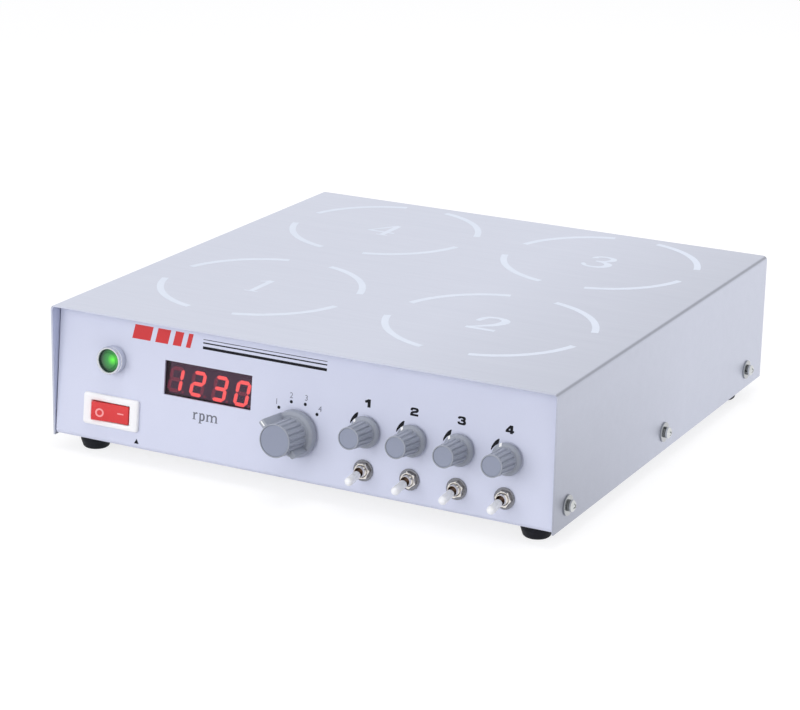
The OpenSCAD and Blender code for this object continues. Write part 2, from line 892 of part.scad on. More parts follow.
module toggle_switches() {
    color("Firebrick")
        for (x = column)
            on_panel(x, toggle_v)
                difference() {
                    union() {
                        rod(toggle_bush_r, -chassis_t - 1, toggle_bush);
                        plate(toggle_body[0], toggle_body[1], -chassis_t - seat - toggle_body[2],
                            -chassis_t - seat);
                        for (lug = [-1, 0, 1])
                            translate([0, lug * toggle_lug_pitch, 0])
                                plate(toggle_lug[0], toggle_lug[1], -toggle_depth, -chassis_t - 1);
                    }
                    rod(toggle_bore_r, toggle_pivot - toggle_bore_r - 0.4, toggle_bush + 1);
                }
}

module toggle_washers() {
    color("Silver")
        for (x = column)
            on_panel(x, toggle_v)
                ring(toggle_washer_r, toggle_bush_r + loose / 2, seat, seat + toggle_washer_t);
}

module toggle_nuts() {
    from = toggle_washer_t + 2 * seat;
    color("Gainsboro")
        for (x = column)
            on_panel(x, toggle_v)
                hex_nut(toggle_nut_r, toggle_bush_r + loose / 2, from, from + toggle_nut_h);
}

// The two magnet pockets of a rotor
module at_magnets() {
    for (s = [-1, 1])
        translate([s * magnet_reach, 0, 0]) children();
}

module rotor(i) {
    color("LightGray")
        translate(concat(place[i - 1], [0])) {
            difference() {
                union() {
                    rod(rotor_d / 2, rotor_top - rotor_t, rotor_top);
                    rod(rotor_boss_r, rotor_top - rotor_t - rotor_boss, rotor_top);
                }
                at_magnets() rod(magnet_r + seat, rotor_top - magnet_sink, rotor_top + 1);
            }
            rod(spindle_r, bracket_top - spindle_len, rotor_top - rotor_t);
        }
}

module rotor_magnets(i) {
    bottom = rotor_top - magnet_sink + seat;
    color("DimGray")
        translate(concat(place[i - 1], [0])) at_magnets() rod(magnet_r, bottom, bottom + magnet_h);
}

module motors() {
    motor_top = bracket_top - bracket_t - seat;
    color("Gray")
        for (p = place)
            translate([p[0], p[1], 0])
                difference() {
                    union() {
                        rod(motor_d / 2, motor_top - motor_h, motor_top);
                        rod(motor_boss_r, motor_top - 1, bracket_top + 1);
                    }
                    rod(spindle_r + running, bracket_top - spindle_len - 0.5, bracket_top + 2);
                }
}

module motor_brackets() {
    leg = bracket_top - floor_top - seat;
    color("Silver")
        for (p = place)
            translate([p[0], p[1], 0])
                difference() {
                    union() {
                        plate(bracket_w, bracket_d, bracket_top - bracket_t, bracket_top);
                        for (s = [-1, 1]) {
                            translate([s * (bracket_w - bracket_t) / 2, 0, 0])
                                plate(bracket_t, bracket_d, bracket_top - leg, bracket_top);
                            translate([s * (bracket_w + bracket_foot) / 2, 0, 0])
                                plate(bracket_foot + bracket_t, bracket_d,
                                    floor_top + seat, floor_top + seat + bracket_t);
                        }
                    }
                    rod(motor_boss_r + loose, bracket_top - bracket_t - 1, bracket_top + 1);
                }
}

module speed_sensors() {
    color("DarkGreen")
        for (p = place)
            translate([p[0], p[1] + sensor_out, 0])
                plate(sensor[0], sensor[1], bracket_top + seat, bracket_top + seat + sensor[2]);
}

module transformer_core() {
    base = floor_top + seat;
    color("DimGray")
        translate([0, transformer_y + core_size[1] / 2, base]) rotate([90, 0, 0]) linear_extrude(core_size[1])
            difference() {
                translate([-core_size[0] / 2, 0]) square([core_size[0], core_size[2]]);
                for (s = [-1, 1])
                    translate([s * (core_leg + core_window[0]) / 2 - core_window[0] / 2,
                        (core_size[2] - core_window[1]) / 2]) square(core_window);
            }
}

module transformer_coil() {
    middle = floor_top + seat + core_size[2] / 2;
    half = core_window[1] / 2 - coil_gap;
    color("Goldenrod")
        translate([0, transformer_y, 0])
            difference() {
                round_plate(core_leg + 2 * core_window[0] - 2 * coil_gap, core_size[1] + 2 * coil_over, 3,
                    middle - half, middle + half);
                plate(core_leg + 2 * loose, core_size[1] + 2 * loose, middle - half - 1, middle + half + 1);
            }
}

module control_board() {
    top = board_z + board_t;
    color("DarkGreen")
        translate([0, board_y, 0])
            difference() {
                union() {
                    plate(board_size[0], board_size[1], board_z, top);
                    for (i = [-1.5:1.5])
                        translate([i * capacitor_pitch, capacitor_y, 0])
                            rod(capacitor_r, top - 0.01, top + capacitor_h);
                    for (i = [-1:1])
                        translate([i * chip_pitch, chip_y, 0])
                            plate(chip[0], chip[1], top - 0.01, top + chip[2]);
                    translate([0, plug_row_y, 0])
                        plate(plug_row[0], plug_row[1], top - 0.01, top + plug_row[2]);
                }
                for (sx = [-1, 1], sy = [-1, 1])
                    translate([sx * (board_size[0] / 2 - stud_in), sy * (board_size[1] / 2 - stud_in), 0])
                        rod(board_hole_r, board_z - 1, top + 1);
            }
}

module cord_gland() {
    color("Black")
        on_rear(gland_x, rear_v) rotate_extrude()
            polygon([[gland_bore_r, -gland_in], [gland_r, -gland_in], [gland_r, seat], [gland_flange_r, seat],
                [gland_flange_r, gland_flange - 0.8], [gland_flange_r - 0.8, gland_flange],
                [gland_r + 0.8, gland_flange], [gland_bore_r + 1.6, gland_out], [gland_bore_r, gland_out]]);
}

module fuse_holder() {
    color("Black")
        on_rear(fuse_x, rear_v)
            difference() {
                union() {
                    rod(fuse_r, -fuse_len, seat + 0.01);
                    rod(fuse_flange_r, seat, fuse_flange);
                }
                rod(fuse_bore_r, -fuse_bore, fuse_flange + 1);
            }
}

module fuse_cap() {
    cap_low = fuse_flange + 0.3;
    color("Black")
        on_rear(fuse_x, rear_v)
            difference() {
                union() {
                    grip(fuse_cap_r, cap_low, fuse_out, 24, 0.5);
                    rod(fuse_bore_r - running, 0.5 - fuse_bore, cap_low + 0.5);
                }
                plate(1.2, 2 * fuse_cap_r - 3, fuse_out - 1, fuse_out + 1);
            }
}

chassis();
top_cover();
cover_screws();
cover_spring_washers();
cover_washers();
feet();
foot_screws();
lamp_bezel();
lamp_lens();
lamp_nut();
power_switch_body();
power_rocker();
power_terminals();
display_window();
display_module();
display_board();
display_spacers();
selector_knob();
selector_cap();
selector_shaft();
selector_switch();
selector_nut();
for (i = [1:4]) {
    speed_knob(i);
    speed_cap(i);
    speed_shaft(i);
    toggle_lever(i);
    rotor(i);
    rotor_magnets(i);
}
potentiometers();
potentiometer_nuts();
toggle_switches();
toggle_nuts();
toggle_washers();
motors();
motor_brackets();
speed_sensors();
transformer_core();
transformer_coil();
control_board();
cord_gland();
fuse_holder();
fuse_cap();
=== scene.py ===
"""Looks of a four-place magnetic stirrer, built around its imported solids.

Shapes are drawn in millimetres in the frame of the surface that carries them. A placing matrix turns them
into the metres of the shared frame.
"""
import json
import logging
import math
from collections.abc import Callable, Iterable, Sequence
from dataclasses import dataclass
from enum import Enum

import bmesh
import bpy
from mathutils import Matrix, Vector


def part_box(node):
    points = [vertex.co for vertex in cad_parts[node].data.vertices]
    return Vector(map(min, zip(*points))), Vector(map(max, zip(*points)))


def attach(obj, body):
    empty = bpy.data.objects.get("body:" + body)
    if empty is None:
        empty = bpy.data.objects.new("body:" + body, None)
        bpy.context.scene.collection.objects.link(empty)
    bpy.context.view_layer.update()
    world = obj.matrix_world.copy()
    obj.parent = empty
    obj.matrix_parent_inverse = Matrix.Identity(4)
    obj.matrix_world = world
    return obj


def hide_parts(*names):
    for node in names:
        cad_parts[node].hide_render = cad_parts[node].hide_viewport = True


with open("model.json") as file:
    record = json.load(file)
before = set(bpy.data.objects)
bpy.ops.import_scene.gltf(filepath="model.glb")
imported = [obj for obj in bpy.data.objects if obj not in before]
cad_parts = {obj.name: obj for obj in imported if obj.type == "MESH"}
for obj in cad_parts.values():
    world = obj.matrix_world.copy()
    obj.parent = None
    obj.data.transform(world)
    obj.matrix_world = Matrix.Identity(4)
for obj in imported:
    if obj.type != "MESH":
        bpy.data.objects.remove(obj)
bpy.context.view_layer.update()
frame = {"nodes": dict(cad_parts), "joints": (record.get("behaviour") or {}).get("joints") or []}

LOG = logging.getLogger("stirrer")
MM = 0.001
# Thickness of a printed mark, in millimetres
INK_T = 0.02
# Gap between print and the surface under it, in millimetres
PRINT_GAP = 0.002
# How much lower each stroke of a figure is than the one before, in millimetres, so that no two tops meet
STROKE_STEP = 0.001
# Gap between two pieces that sit on each other, in millimetres
SEAT = 0.05
# Distance under which two points of a shape are merged, in millimetres
WELD = 1e-4
# Angle in degrees from which an edge stays sharp
SHARP_EDGE = 32.0
# Width of the picture that the camera is fitted to, in pixels
IMAGE_W = 800

Point = tuple[float, float]
Corner = tuple[float, float, float]
Loop = list[Vector]
# Whether a printed stroke is curved, and its points with half widths
Stroke = tuple[bool, list[Corner]]


class Slot(Enum):
    """Material slots of the record, passed with each new piece but never read."""

    PANEL = "panel_finish"
    COVER = "cover_steel"
    FASTENER = "fastener_steel"
    SPRING = "spring_steel"
    RUBBER = "foot_rubber"
    LAMP_METAL = "lamp_chrome"
    LAMP_GREEN = "lamp_green"
    SWITCH = "switch_white"
    ROCKER = "rocker_red"
    DISPLAY = "display_grey"
    KNOB = "knob_grey"
    CAP = "cap_grey"
    NUT = "nut_chrome"
    LEVER = "lever_white"
    REAR = "rear_black"


class Carve(Enum):
    """Ways to carve one shape with another."""

    UNITE = "UNION"
    CUT = "DIFFERENCE"


class Pattern(Enum):
    """Surface patterns, each a shader group of its own."""

    SPECKLE = "speckle"
    STRANDS = "strands"
    SPUN = "spun"
    LAYERS = "layers"
    TRACES = "traces"


def linear(tone: Sequence[float], share: float = 1.0) -> tuple[float, float, float, float]:
    """Turns a screen colour into a linear one.

    Args:
        tone: Red, green and blue from 0 to 255.
        share: Brightness to multiply the linear colour by.

    Returns:
        The linear colour with an alpha of 1.
    """
    def channel(value: float) -> float:
        """Turns one channel from 0 to 255 into a linear value."""
        c = value / 255
        return min(1.0, share * (c / 12.92 if c <= 0.04045 else ((c + 0.055) / 1.055) ** 2.4))
    return (*(channel(v) for v in tone), 1.0)


class Graph:
    """Writes nodes into one node tree."""

    def __init__(self, tree: bpy.types.NodeTree) -> None:
        """Starts on an empty tree."""
        self.tree = tree
        tree.nodes.clear()

    def feed(self, socket: bpy.types.NodeSocket, value: object) -> None:
        """Links a socket to another one, or sets its own value."""
        if isinstance(value, bpy.types.NodeSocket):
            self.tree.links.new(value, socket)
        else:
            socket.default_value = value

    def add(self, kind: str, inputs: dict | None = None, **settings: object) -> bpy.types.Node:
        """Adds a node.

        Args:
            kind: Blender's name of the node's type.
            inputs: Values or sockets for its inputs, by name or number.
            settings: Properties of the node itself.

        Returns:
            The new node.
        """
        node = self.tree.nodes.new(kind)
        for name, value in settings.items():
            setattr(node, name, value)
        for key, value in (inputs or {}).items():
            self.feed(node.inputs[key], value)
        return node

    def math(self, operation: str, a: object, b: object = 0.0) -> bpy.types.NodeSocket:
        """Adds a Math node and returns its result."""
        return self.add("ShaderNodeMath", {0: a, 1: b}, operation=operation).outputs[0]

    def spread(self, value: bpy.types.NodeSocket, low: float, high: float,
               source: Point = (0.0, 1.0)) -> bpy.types.NodeSocket:
        """Maps a value from one range to another and returns the result."""
        inputs = {"Value": value, "From Min": source[0], "From Max": source[1], "To Min": low, "To Max": high}
        return self.add("ShaderNodeMapRange", inputs).outputs["Result"]

    def mix(self, mask: bpy.types.NodeSocket, a: object, b: object) -> bpy.types.NodeSocket:
        """Mixes two colours by a mask and returns the colour."""
        node = self.add("ShaderNodeMix", {0: mask}, data_type="RGBA")
        self.feed(node.inputs[6], a)
        self.feed(node.inputs[7], b)
        return node.outputs[2]


def pattern_group(pattern: Pattern) -> bpy.types.NodeTree:
    """Builds the shader group of a pattern, once.

    Args:
        pattern: The pattern to build.

    Returns:
        A group with Vector and Scale inputs, and Mask and Height outputs from 0 to 1.
    """
    name = f"{pattern.value}_pattern"
    found = bpy.data.node_groups.get(name)
    if found:
        return found
    tree = bpy.data.node_groups.new(name, "ShaderNodeTree")
    tree.interface.new_socket("Vector", in_out="INPUT", socket_type="NodeSocketVector")
    tree.interface.new_socket("Scale", in_out="INPUT", socket_type="NodeSocketFloat")
    for label in ("Mask", "Height"):
        tree.interface.new_socket(label, in_out="OUTPUT", socket_type="NodeSocketFloat")
    graph = Graph(tree)
    entry = graph.add("NodeGroupInput")
    vector, scale = entry.outputs["Vector"], entry.outputs["Scale"]

    def noise(size: object, detail: float, source: Point) -> bpy.types.NodeSocket:
        """Adds a noise of that size, with a range of its values spread from 0 to 1, and returns it."""
        inputs = {"Vector": vector, "Scale": size, "Detail": detail, "Roughness": 0.55}
        value = graph.add("ShaderNodeTexNoise", inputs).outputs["Fac"]
        return graph.spread(value, 0.0, 1.0, source)

    def weigh(fine: bpy.types.NodeSocket, share: float, broad: bpy.types.NodeSocket) -> bpy.types.NodeSocket:
        """Adds a fine noise, by its share, to a broad one and returns the sum."""
        parts = graph.math("MULTIPLY", fine, share), graph.math("MULTIPLY", broad, 1 - share)
        return graph.math("ADD", *parts)

    if pattern is Pattern.SPECKLE:
        height = noise(scale, 3.0, (0.3, 0.7))
        mask = weigh(height, 0.55, noise(graph.math("MULTIPLY", scale, 0.03), 2.0, (0.35, 0.65)))
    elif pattern is Pattern.STRANDS:
        height = noise(scale, 2.0, (0.25, 0.75))
        mask = weigh(height, 0.7, noise(graph.math("MULTIPLY", scale, 0.12), 3.0, (0.3, 0.7)))
    elif pattern is Pattern.SPUN:
        radius = graph.add("ShaderNodeVectorMath", {0: vector}, operation="LENGTH").outputs["Value"]
        turns = graph.math("MULTIPLY", radius, scale)
        rings = graph.math("SINE", turns)
        uneven = graph.add("ShaderNodeTexNoise", {"W": turns, "Scale": 0.7, "Detail": 2.0},
                           noise_dimensions="1D").outputs["Fac"]
        mask = graph.spread(uneven, 0.0, 1.0, (0.3, 0.7))
        height = graph.spread(rings, 0.0, 1.0, (-1.0, 1.0))
    elif pattern is Pattern.LAYERS:
        inputs = {"Vector": vector, "Scale": scale, "Distortion": 0.4, "Detail": 1.0}
        mask = graph.add("ShaderNodeTexWave", inputs, bands_direction="Y").outputs["Fac"]
        height = mask
    else:
        inputs = {"Vector": vector, "Scale": scale, "Mortar Size": 0.09, "Mortar Smooth": 0.2,
                  "Color1": (0.0, 0.0, 0.0, 1.0), "Color2": (0.25, 0.25, 0.25, 1.0),
                  "Mortar": (1.0, 1.0, 1.0, 1.0), "Brick Width": 0.8, "Row Height": 0.3}
        brick = graph.add("ShaderNodeTexBrick", inputs)
        mask = graph.add("ShaderNodeRGBToBW", {0: brick.outputs["Color"]}).outputs[0]
        height = mask
    graph.add("NodeGroupOutput", {"Mask": mask, "Height": height})
    return tree


@dataclass(frozen=True)
class Finish:
    """A surface finish: one tone, with a pattern in its colour, gloss and relief."""

    name: str
    tone: tuple[int, int, int]
    rough: float = 0.45
    metal: float = 0.0
    pattern: Pattern = Pattern.SPECKLE
    scale: float = 900.0
    stretch: tuple[float, float, float] = (1.0, 1.0, 1.0)
    depth: float = 0.05
    gloss_depth: float = 0.06
    relief: float = 0.01
    coat: float = 0.0
    specular: float = 0.5
    milky: float = 0.0
    milky_depth: float = 3.0

    def material(self) -> bpy.types.Material:
        """Returns the finish's material, made once."""
        return bpy.data.materials.get(self.name) or self.make()

    def make(self) -> bpy.types.Material:
        """Builds the finish's material and returns it."""
        material = bpy.data.materials.new(self.name)
        material.use_nodes = True
        graph = Graph(material.node_tree)
        shader = graph.add("ShaderNodeBsdfPrincipled", {
            "Metallic": self.metal, "Coat Weight": self.coat, "Specular IOR Level": self.specular,
            "Subsurface Weight": self.milky, "Subsurface Scale": self.milky_depth * MM,
            "Subsurface Radius": (1.0, 1.0, 1.0)})
        graph.add("ShaderNodeOutputMaterial", {"Surface": shader.outputs[0]})
        where = graph.add("ShaderNodeTexCoord").outputs["UV" if self.pattern is Pattern.SPUN else "Object"]
        if self.stretch != (1.0, 1.0, 1.0):
            where = graph.add("ShaderNodeMapping", {"Vector": where, "Scale": self.stretch}).outputs[0]
        group = graph.add("ShaderNodeGroup", node_tree=pattern_group(self.pattern))
        graph.feed(group.inputs["Vector"], where)
        graph.feed(group.inputs["Scale"], self.scale)
        mask, height = group.outputs["Mask"], group.outputs["Height"]
        colour = graph.mix(mask, linear(self.tone, 1 - self.depth), linear(self.tone, 1 + self.depth))
        graph.feed(shader.inputs["Base Color"], colour)
        dull, shiny = self.rough + self.gloss_depth, max(0.02, self.rough - self.gloss_depth)
        graph.feed(shader.inputs["Roughness"], graph.spread(mask, dull, shiny))
        bump = graph.add("ShaderNodeBump", {"Height": height, "Strength": 0.6, "Distance": self.relief * MM})
        graph.feed(shader.inputs["Normal"], bump.outputs[0])
        self.dress(graph, shader, mask)
        return material

    def dress(self, graph: Graph, shader: bpy.types.Node, mask: bpy.types.NodeSocket) -> None:
        """Adds what a special finish needs; a plain one needs nothing."""


@dataclass(frozen=True)
class Glow(Finish):
    """A finish that gives off light, with the pattern in the glow."""

    glow: tuple[int, int, int] = (255, 95, 95)
    strength: float = 1.0

    def dress(self, graph: Graph, shader: bpy.types.Node, mask: bpy.types.NodeSocket) -> None:
        """Adds the glow."""
        colour = graph.mix(mask, linear(self.glow, 1 - self.depth), linear(self.glow, 1 + self.depth))
        graph.feed(shader.inputs["Emission Color"], colour)
        graph.feed(shader.inputs["Emission Strength"], self.strength)


@dataclass(frozen=True)
class Tint(Finish):
    """A clear tinted sheet."""

    alpha: float = 0.5

    def dress(self, graph: Graph, shader: bpy.types.Node, mask: bpy.types.NodeSocket) -> None:
        """Sets how much the sheet covers what lies behind it."""
        graph.feed(shader.inputs["Alpha"], self.alpha)


@dataclass(frozen=True)
class LampLens(Finish):
    """A green lens that glows, as the lamp is lit, with a painted highlight spot in its colour and glow and
    painted shade towards its rim. Its UV map runs from -1 to 1 across the lens.
    """

    # Place of the painted highlight spot, its colour, the middle colour and the painted shade colour at the
    # rim
    spot: Point = (0.45, 0.16)
    bright: tuple[int, int, int] = (90, 230, 60)
    middle: tuple[int, int, int] = (40, 134, 56)
    dark: tuple[int, int, int] = (10, 52, 28)
    strength: float = 0.16

    def dress(self, graph: Graph, shader: bpy.types.Node, mask: bpy.types.NodeSocket) -> None:
        """Spreads the colour and the glow out from the painted highlight spot, darkening them to painted
        shade at the rim.
        """
        where = graph.add("ShaderNodeTexCoord").outputs["UV"]
        far = graph.add("ShaderNodeVectorMath", {0: where, 1: (*self.spot, 0.0)},
                        operation="DISTANCE").outputs["Value"]
        # Painted highlight near the spot and painted shade towards the rim
        near = graph.spread(far, 1.0, 0.0, (0.05, 0.55))
        rim = graph.spread(far, 1.0, 0.0, (0.6, 1.25))
        colour = graph.mix(rim, linear(self.dark), linear(self.middle))
        colour = graph.mix(near, colour, linear(self.bright))
        graph.feed(shader.inputs["Base Color"], colour)
        graph.feed(shader.inputs["Emission Color"], colour)
        graph.feed(shader.inputs["Emission Strength"], self.strength)


@dataclass(frozen=True)
class FoldedSteel(Finish):
    """A brushed sheet with painted shade in its colour: a dark line along its bends, its sides darker towards
    the front and lower down, and its right part darker.

    Its ranges are in metres.
    """

    # Ranges in metres and shares of the painted shade: a dark line along the bends, the sides darker towards
    # the front and lower down, and the right part darker
    bend_across: Point = (0.1482, 0.149)
    bend_up: Point = (0.081, 0.0818)
    rub: float = 0.36
    side_across: Point = (0.1488, 0.1496)
    front: Point = (-0.15, 0.03)
    low: Point = (0.015, 0.07)
    dull: Point = (0.11, 0.17)
    right: Point = (0.04, 0.145)
    right_dull: float = 0.12

    def dress(self, graph: Graph, shader: bpy.types.Node, mask: bpy.types.NodeSocket) -> None:
        """Paints shade into the colour by the place on the sheet."""
        where = graph.add("ShaderNodeTexCoord").outputs["Object"]
        axis = graph.add("ShaderNodeSeparateXYZ", {0: where}).outputs
        across = graph.math("ABSOLUTE", axis["X"])
        bend = graph.math("MULTIPLY", graph.spread(across, 0.0, 1.0, self.bend_across),
                          graph.spread(axis["Z"], 0.0, self.rub, self.bend_up))
        front = graph.math("MULTIPLY", graph.spread(axis["Y"], 1.0, 0.0, self.front),
                           graph.spread(across, 0.0, 1.0, self.side_across))
        side = graph.math("MULTIPLY", front, graph.spread(axis["Z"], sum(self.dull), self.dull[0], self.low))
        right = graph.spread(axis["X"], 0.0, self.right_dull, self.right)
        # Painted shade: the darker of the bend line and the side shade, plus the right part's shade
        painted_shade = graph.math("ADD", graph.math("MAXIMUM", bend, side), right)
        colour = shader.inputs["Base Color"].links[0].from_socket
        shaded = graph.add("ShaderNodeVectorMath", {0: colour, "Scale": graph.math("SUBTRACT", 1.0, painted_shade)},
                           operation="SCALE").outputs["Vector"]
        graph.feed(shader.inputs["Base Color"], shaded)


PANEL_PAINT = Finish("panel_paint", (207, 211, 231), 0.42, scale=1500, depth=0.012, relief=0.004)
# The cover's colour carries painted shade along its bends, low on its sides towards the front, and on its
# right part
COVER_STEEL = FoldedSteel("cover_brushed_steel", (208, 212, 227), 0.36, 0.9, Pattern.STRANDS, scale=1400,
                          stretch=(0.025, 1.0, 1.0), depth=0.018, gloss_depth=0.04, relief=0.003)
ZINC = Finish("zinc_plate", (208, 210, 210), 0.16, 1.0, scale=1800, depth=0.12, relief=0.006)
WASHER_STEEL = Finish("washer_steel", (176, 178, 180), 0.16, 1.0, scale=1800, depth=0.12, relief=0.004)
DARK_WASHER = Finish("washer_dark_zinc", (128, 129, 136), 0.2, 1.0, scale=1800, depth=0.14, relief=0.004)
SPRING_STEEL = Finish("spring_steel_grey", (132, 135, 138), 0.3, 1.0, scale=1800, depth=0.15, relief=0.006)
NICKEL = Finish("bright_nickel", (226, 222, 217), 0.18, 1.0, scale=1400, depth=0.12, relief=0.004)
BRONZE = Finish("lever_pin_bronze", (128, 106, 92), 0.4, 1.0, scale=1400, depth=0.14, relief=0.006)
LAMP_METAL = Finish("lamp_satin_chrome", (214, 216, 222), 0.22, 1.0, scale=1400, depth=0.06, relief=0.003)
RUBBER = Finish("foot_black_rubber", (19, 20, 27), 0.6, scale=1600, depth=0.18, relief=0.03, specular=0.2)
SWITCH_PLASTIC = Finish("switch_white_plastic", (240, 240, 243), 0.32, scale=1500, depth=0.015, relief=0.006)
ROCKER_PLASTIC = Finish("rocker_red_plastic", (214, 50, 53), 0.3, scale=1500, depth=0.05, relief=0.006)
KNOB_PLASTIC = Finish("knob_grey_plastic", (153, 158, 170), 0.32, scale=1400, depth=0.06, relief=0.01)
CAP_METAL = Finish("cap_spun_metal", (142, 148, 167), 0.34, 0.5, Pattern.SPUN, scale=90, depth=0.07,
                   relief=0.006)
NYLON = Finish("lever_white_nylon", (240, 241, 246), 0.42, scale=1500, depth=0.01, relief=0.008,
               specular=0.35, milky=0.8)
TOP_INK = Finish("top_white_print", (220, 227, 242), 0.5, scale=2500, depth=0.02, relief=0.004)
BLACK_INK = Finish("black_print", (16, 17, 24), 0.55, scale=2500, depth=0.12, relief=0.004, specular=0.2)
GREY_INK = Finish("grey_print", (104, 107, 120), 0.5, scale=2500, depth=0.1, relief=0.004)
PALE_INK = Finish("pale_grey_print", (112, 116, 132), 0.5, scale=2500, depth=0.08, relief=0.004)
SIGN_INK = Finish("sign_pink_print", (244, 162, 164), 0.4, scale=2500, depth=0.03, relief=0.004)
RED_INK = Finish("red_print", (204, 48, 52), 0.48, scale=2500, depth=0.06, relief=0.004)
WHITE_INK = Finish("white_print", (246, 246, 246), 0.5, scale=2500, depth=0.02, relief=0.004)
WINDOW = Tint("display_red_window", (58, 34, 48), 0.14, scale=800, depth=0.03, relief=0.0, alpha=0.34)
LIT = Glow("segment_lit", (255, 100, 96), 0.5, scale=900, depth=0.05, glow=(255, 92, 92), strength=1.9)
# Painted light: the unlit segments glow faintly, though they are off
UNLIT = Glow("segment_dark", (124, 60, 78), 0.5, scale=900, depth=0.06, glow=(150, 60, 82), strength=0.8)
# Painted light: the module's dark face glows faintly, standing in for light that reaches it through the
# window
MODULE = Glow("display_dark_face", (70, 52, 70), 0.55, scale=900, depth=0.06, glow=(84, 58, 82), strength=0.6)
# The lit lamp's lens, with a painted highlight and painted shade in its colour and glow
GREEN_LENS = LampLens("lamp_green_lens", (40, 140, 60), 0.16, scale=700, depth=0.04, coat=0.4)
REAR_PLASTIC = Finish("rear_black_plastic", (30, 31, 34), 0.45, scale=1500, depth=0.15, relief=0.015)
BRASS = Finish("brass", (196, 164, 92), 0.3, 1.0, scale=1500, depth=0.1, relief=0.006)
BOARD = Finish("circuit_board", (34, 92, 58), 0.4, 0.0, Pattern.TRACES, scale=160, depth=0.28, relief=0.02)
PHENOLIC = Finish("switch_phenolic_board", (150, 104, 62), 0.55, scale=1100, depth=0.12, relief=0.015)
STEEL_SHAFT = Finish("shaft_turned_steel", (186, 188, 190), 0.26, 1.0, scale=2600, depth=0.1, relief=0.006)
CONTROL_CAN = Finish("control_tin_can", (178, 178, 172), 0.3, 1.0, scale=1200, depth=0.1, relief=0.008)
ALUMINIUM = Finish("rotor_turned_aluminium", (202, 203, 206), 0.34, 1.0, scale=1600, depth=0.06, relief=0.006)
FERRITE = Finish("magnet_ferrite_grey", (70, 70, 74), 0.55, scale=1600, depth=0.16, relief=0.02)
MOTOR_CAN = Finish("motor_zinc_can", (150, 152, 154), 0.36, 1.0, scale=900, depth=0.1, relief=0.008)
BRACKET = Finish("bracket_zinc_sheet", (184, 186, 190), 0.36, 1.0, scale=700, depth=0.1, relief=0.006)
CORE_IRON = Finish("core_sheet_iron", (82, 82, 86), 0.5, 0.8, Pattern.LAYERS, scale=700, depth=0.25,
                   relief=0.05)
COIL_TAPE = Finish("coil_yellow_tape", (206, 172, 74), 0.4, 0.0, Pattern.LAYERS, scale=120, depth=0.1,
                   relief=0.04)


def soften(corners: Sequence[Corner], steps: int = 5) -> list[Point]:
    """Rounds the corners of a profile.

    Args:
        corners: Points of the profile, each with the radius of its rounding.
        steps: Parts that a rounding is cut into.

    Returns:
        The points of the rounded profile.
    """
    out: list[Point] = []
    for i, (x, y, radius) in enumerate(corners):
        here = Vector((x, y))
        if radius <= 0 or i in (0, len(corners) - 1):
            out.append((x, y))
            continue
        back = Vector(corners[i - 1][:2]) - here
        on = Vector(corners[i + 1][:2]) - here
        cut = min(radius / math.tan(back.angle(on) / 2), 0.49 * back.length, 0.49 * on.length)
        first, last = here + back.normalized() * cut, here + on.normalized() * cut
        for s in range(steps + 1):
            t = s / steps
            out.append(tuple((1 - t) ** 2 * first + 2 * t * (1 - t) * here + t * t * last))
    return out


def smooth_path(path: Sequence[Corner], steps: int = 6) -> list[Corner]:
    """Runs a smooth curve through points that each carry a half width.

    Args:
        path: The points, with their half widths.
        steps: Parts between two points.

    Returns:
        The denser path.
    """
    out: list[Corner] = []
    points = [Vector(p) for p in path]
    for i in range(len(points) - 1):
        a, b = points[max(i - 1, 0)], points[i]
        c, d = points[i + 1], points[min(i + 2, len(points) - 1)]
        for s in range(steps):
            t = s / steps
            out.append(tuple(0.5 * (2 * b + (c - a) * t + (2 * a - 5 * b + 4 * c - d) * t * t
                                    + (3 * b - a - 3 * c + d) * t ** 3)))
    return [*out, tuple(points[-1])]


def polar(radius: float, angle: float, height: float) -> Vector:
    """Returns the point at a radius, an angle in radians and a height."""
    return Vector((radius * math.cos(angle), radius * math.sin(angle), height))


def round_rect(width: float, height: float, radius: float, level: float, steps: int = 6) -> Loop:
    """Returns a rectangle with round corners as a loop at that level."""
    loop: Loop = []
    for k, (sx, sy) in enumerate(((1, 1), (-1, 1), (-1, -1), (1, -1))):
        centre = Vector((sx * (width / 2 - radius), sy * (height / 2 - radius), level))
        for s in range(steps + 1):
            a = math.radians(90 * (k + s / steps))
            loop.append(centre + radius * Vector((math.cos(a), math.sin(a), 0)))
    return loop


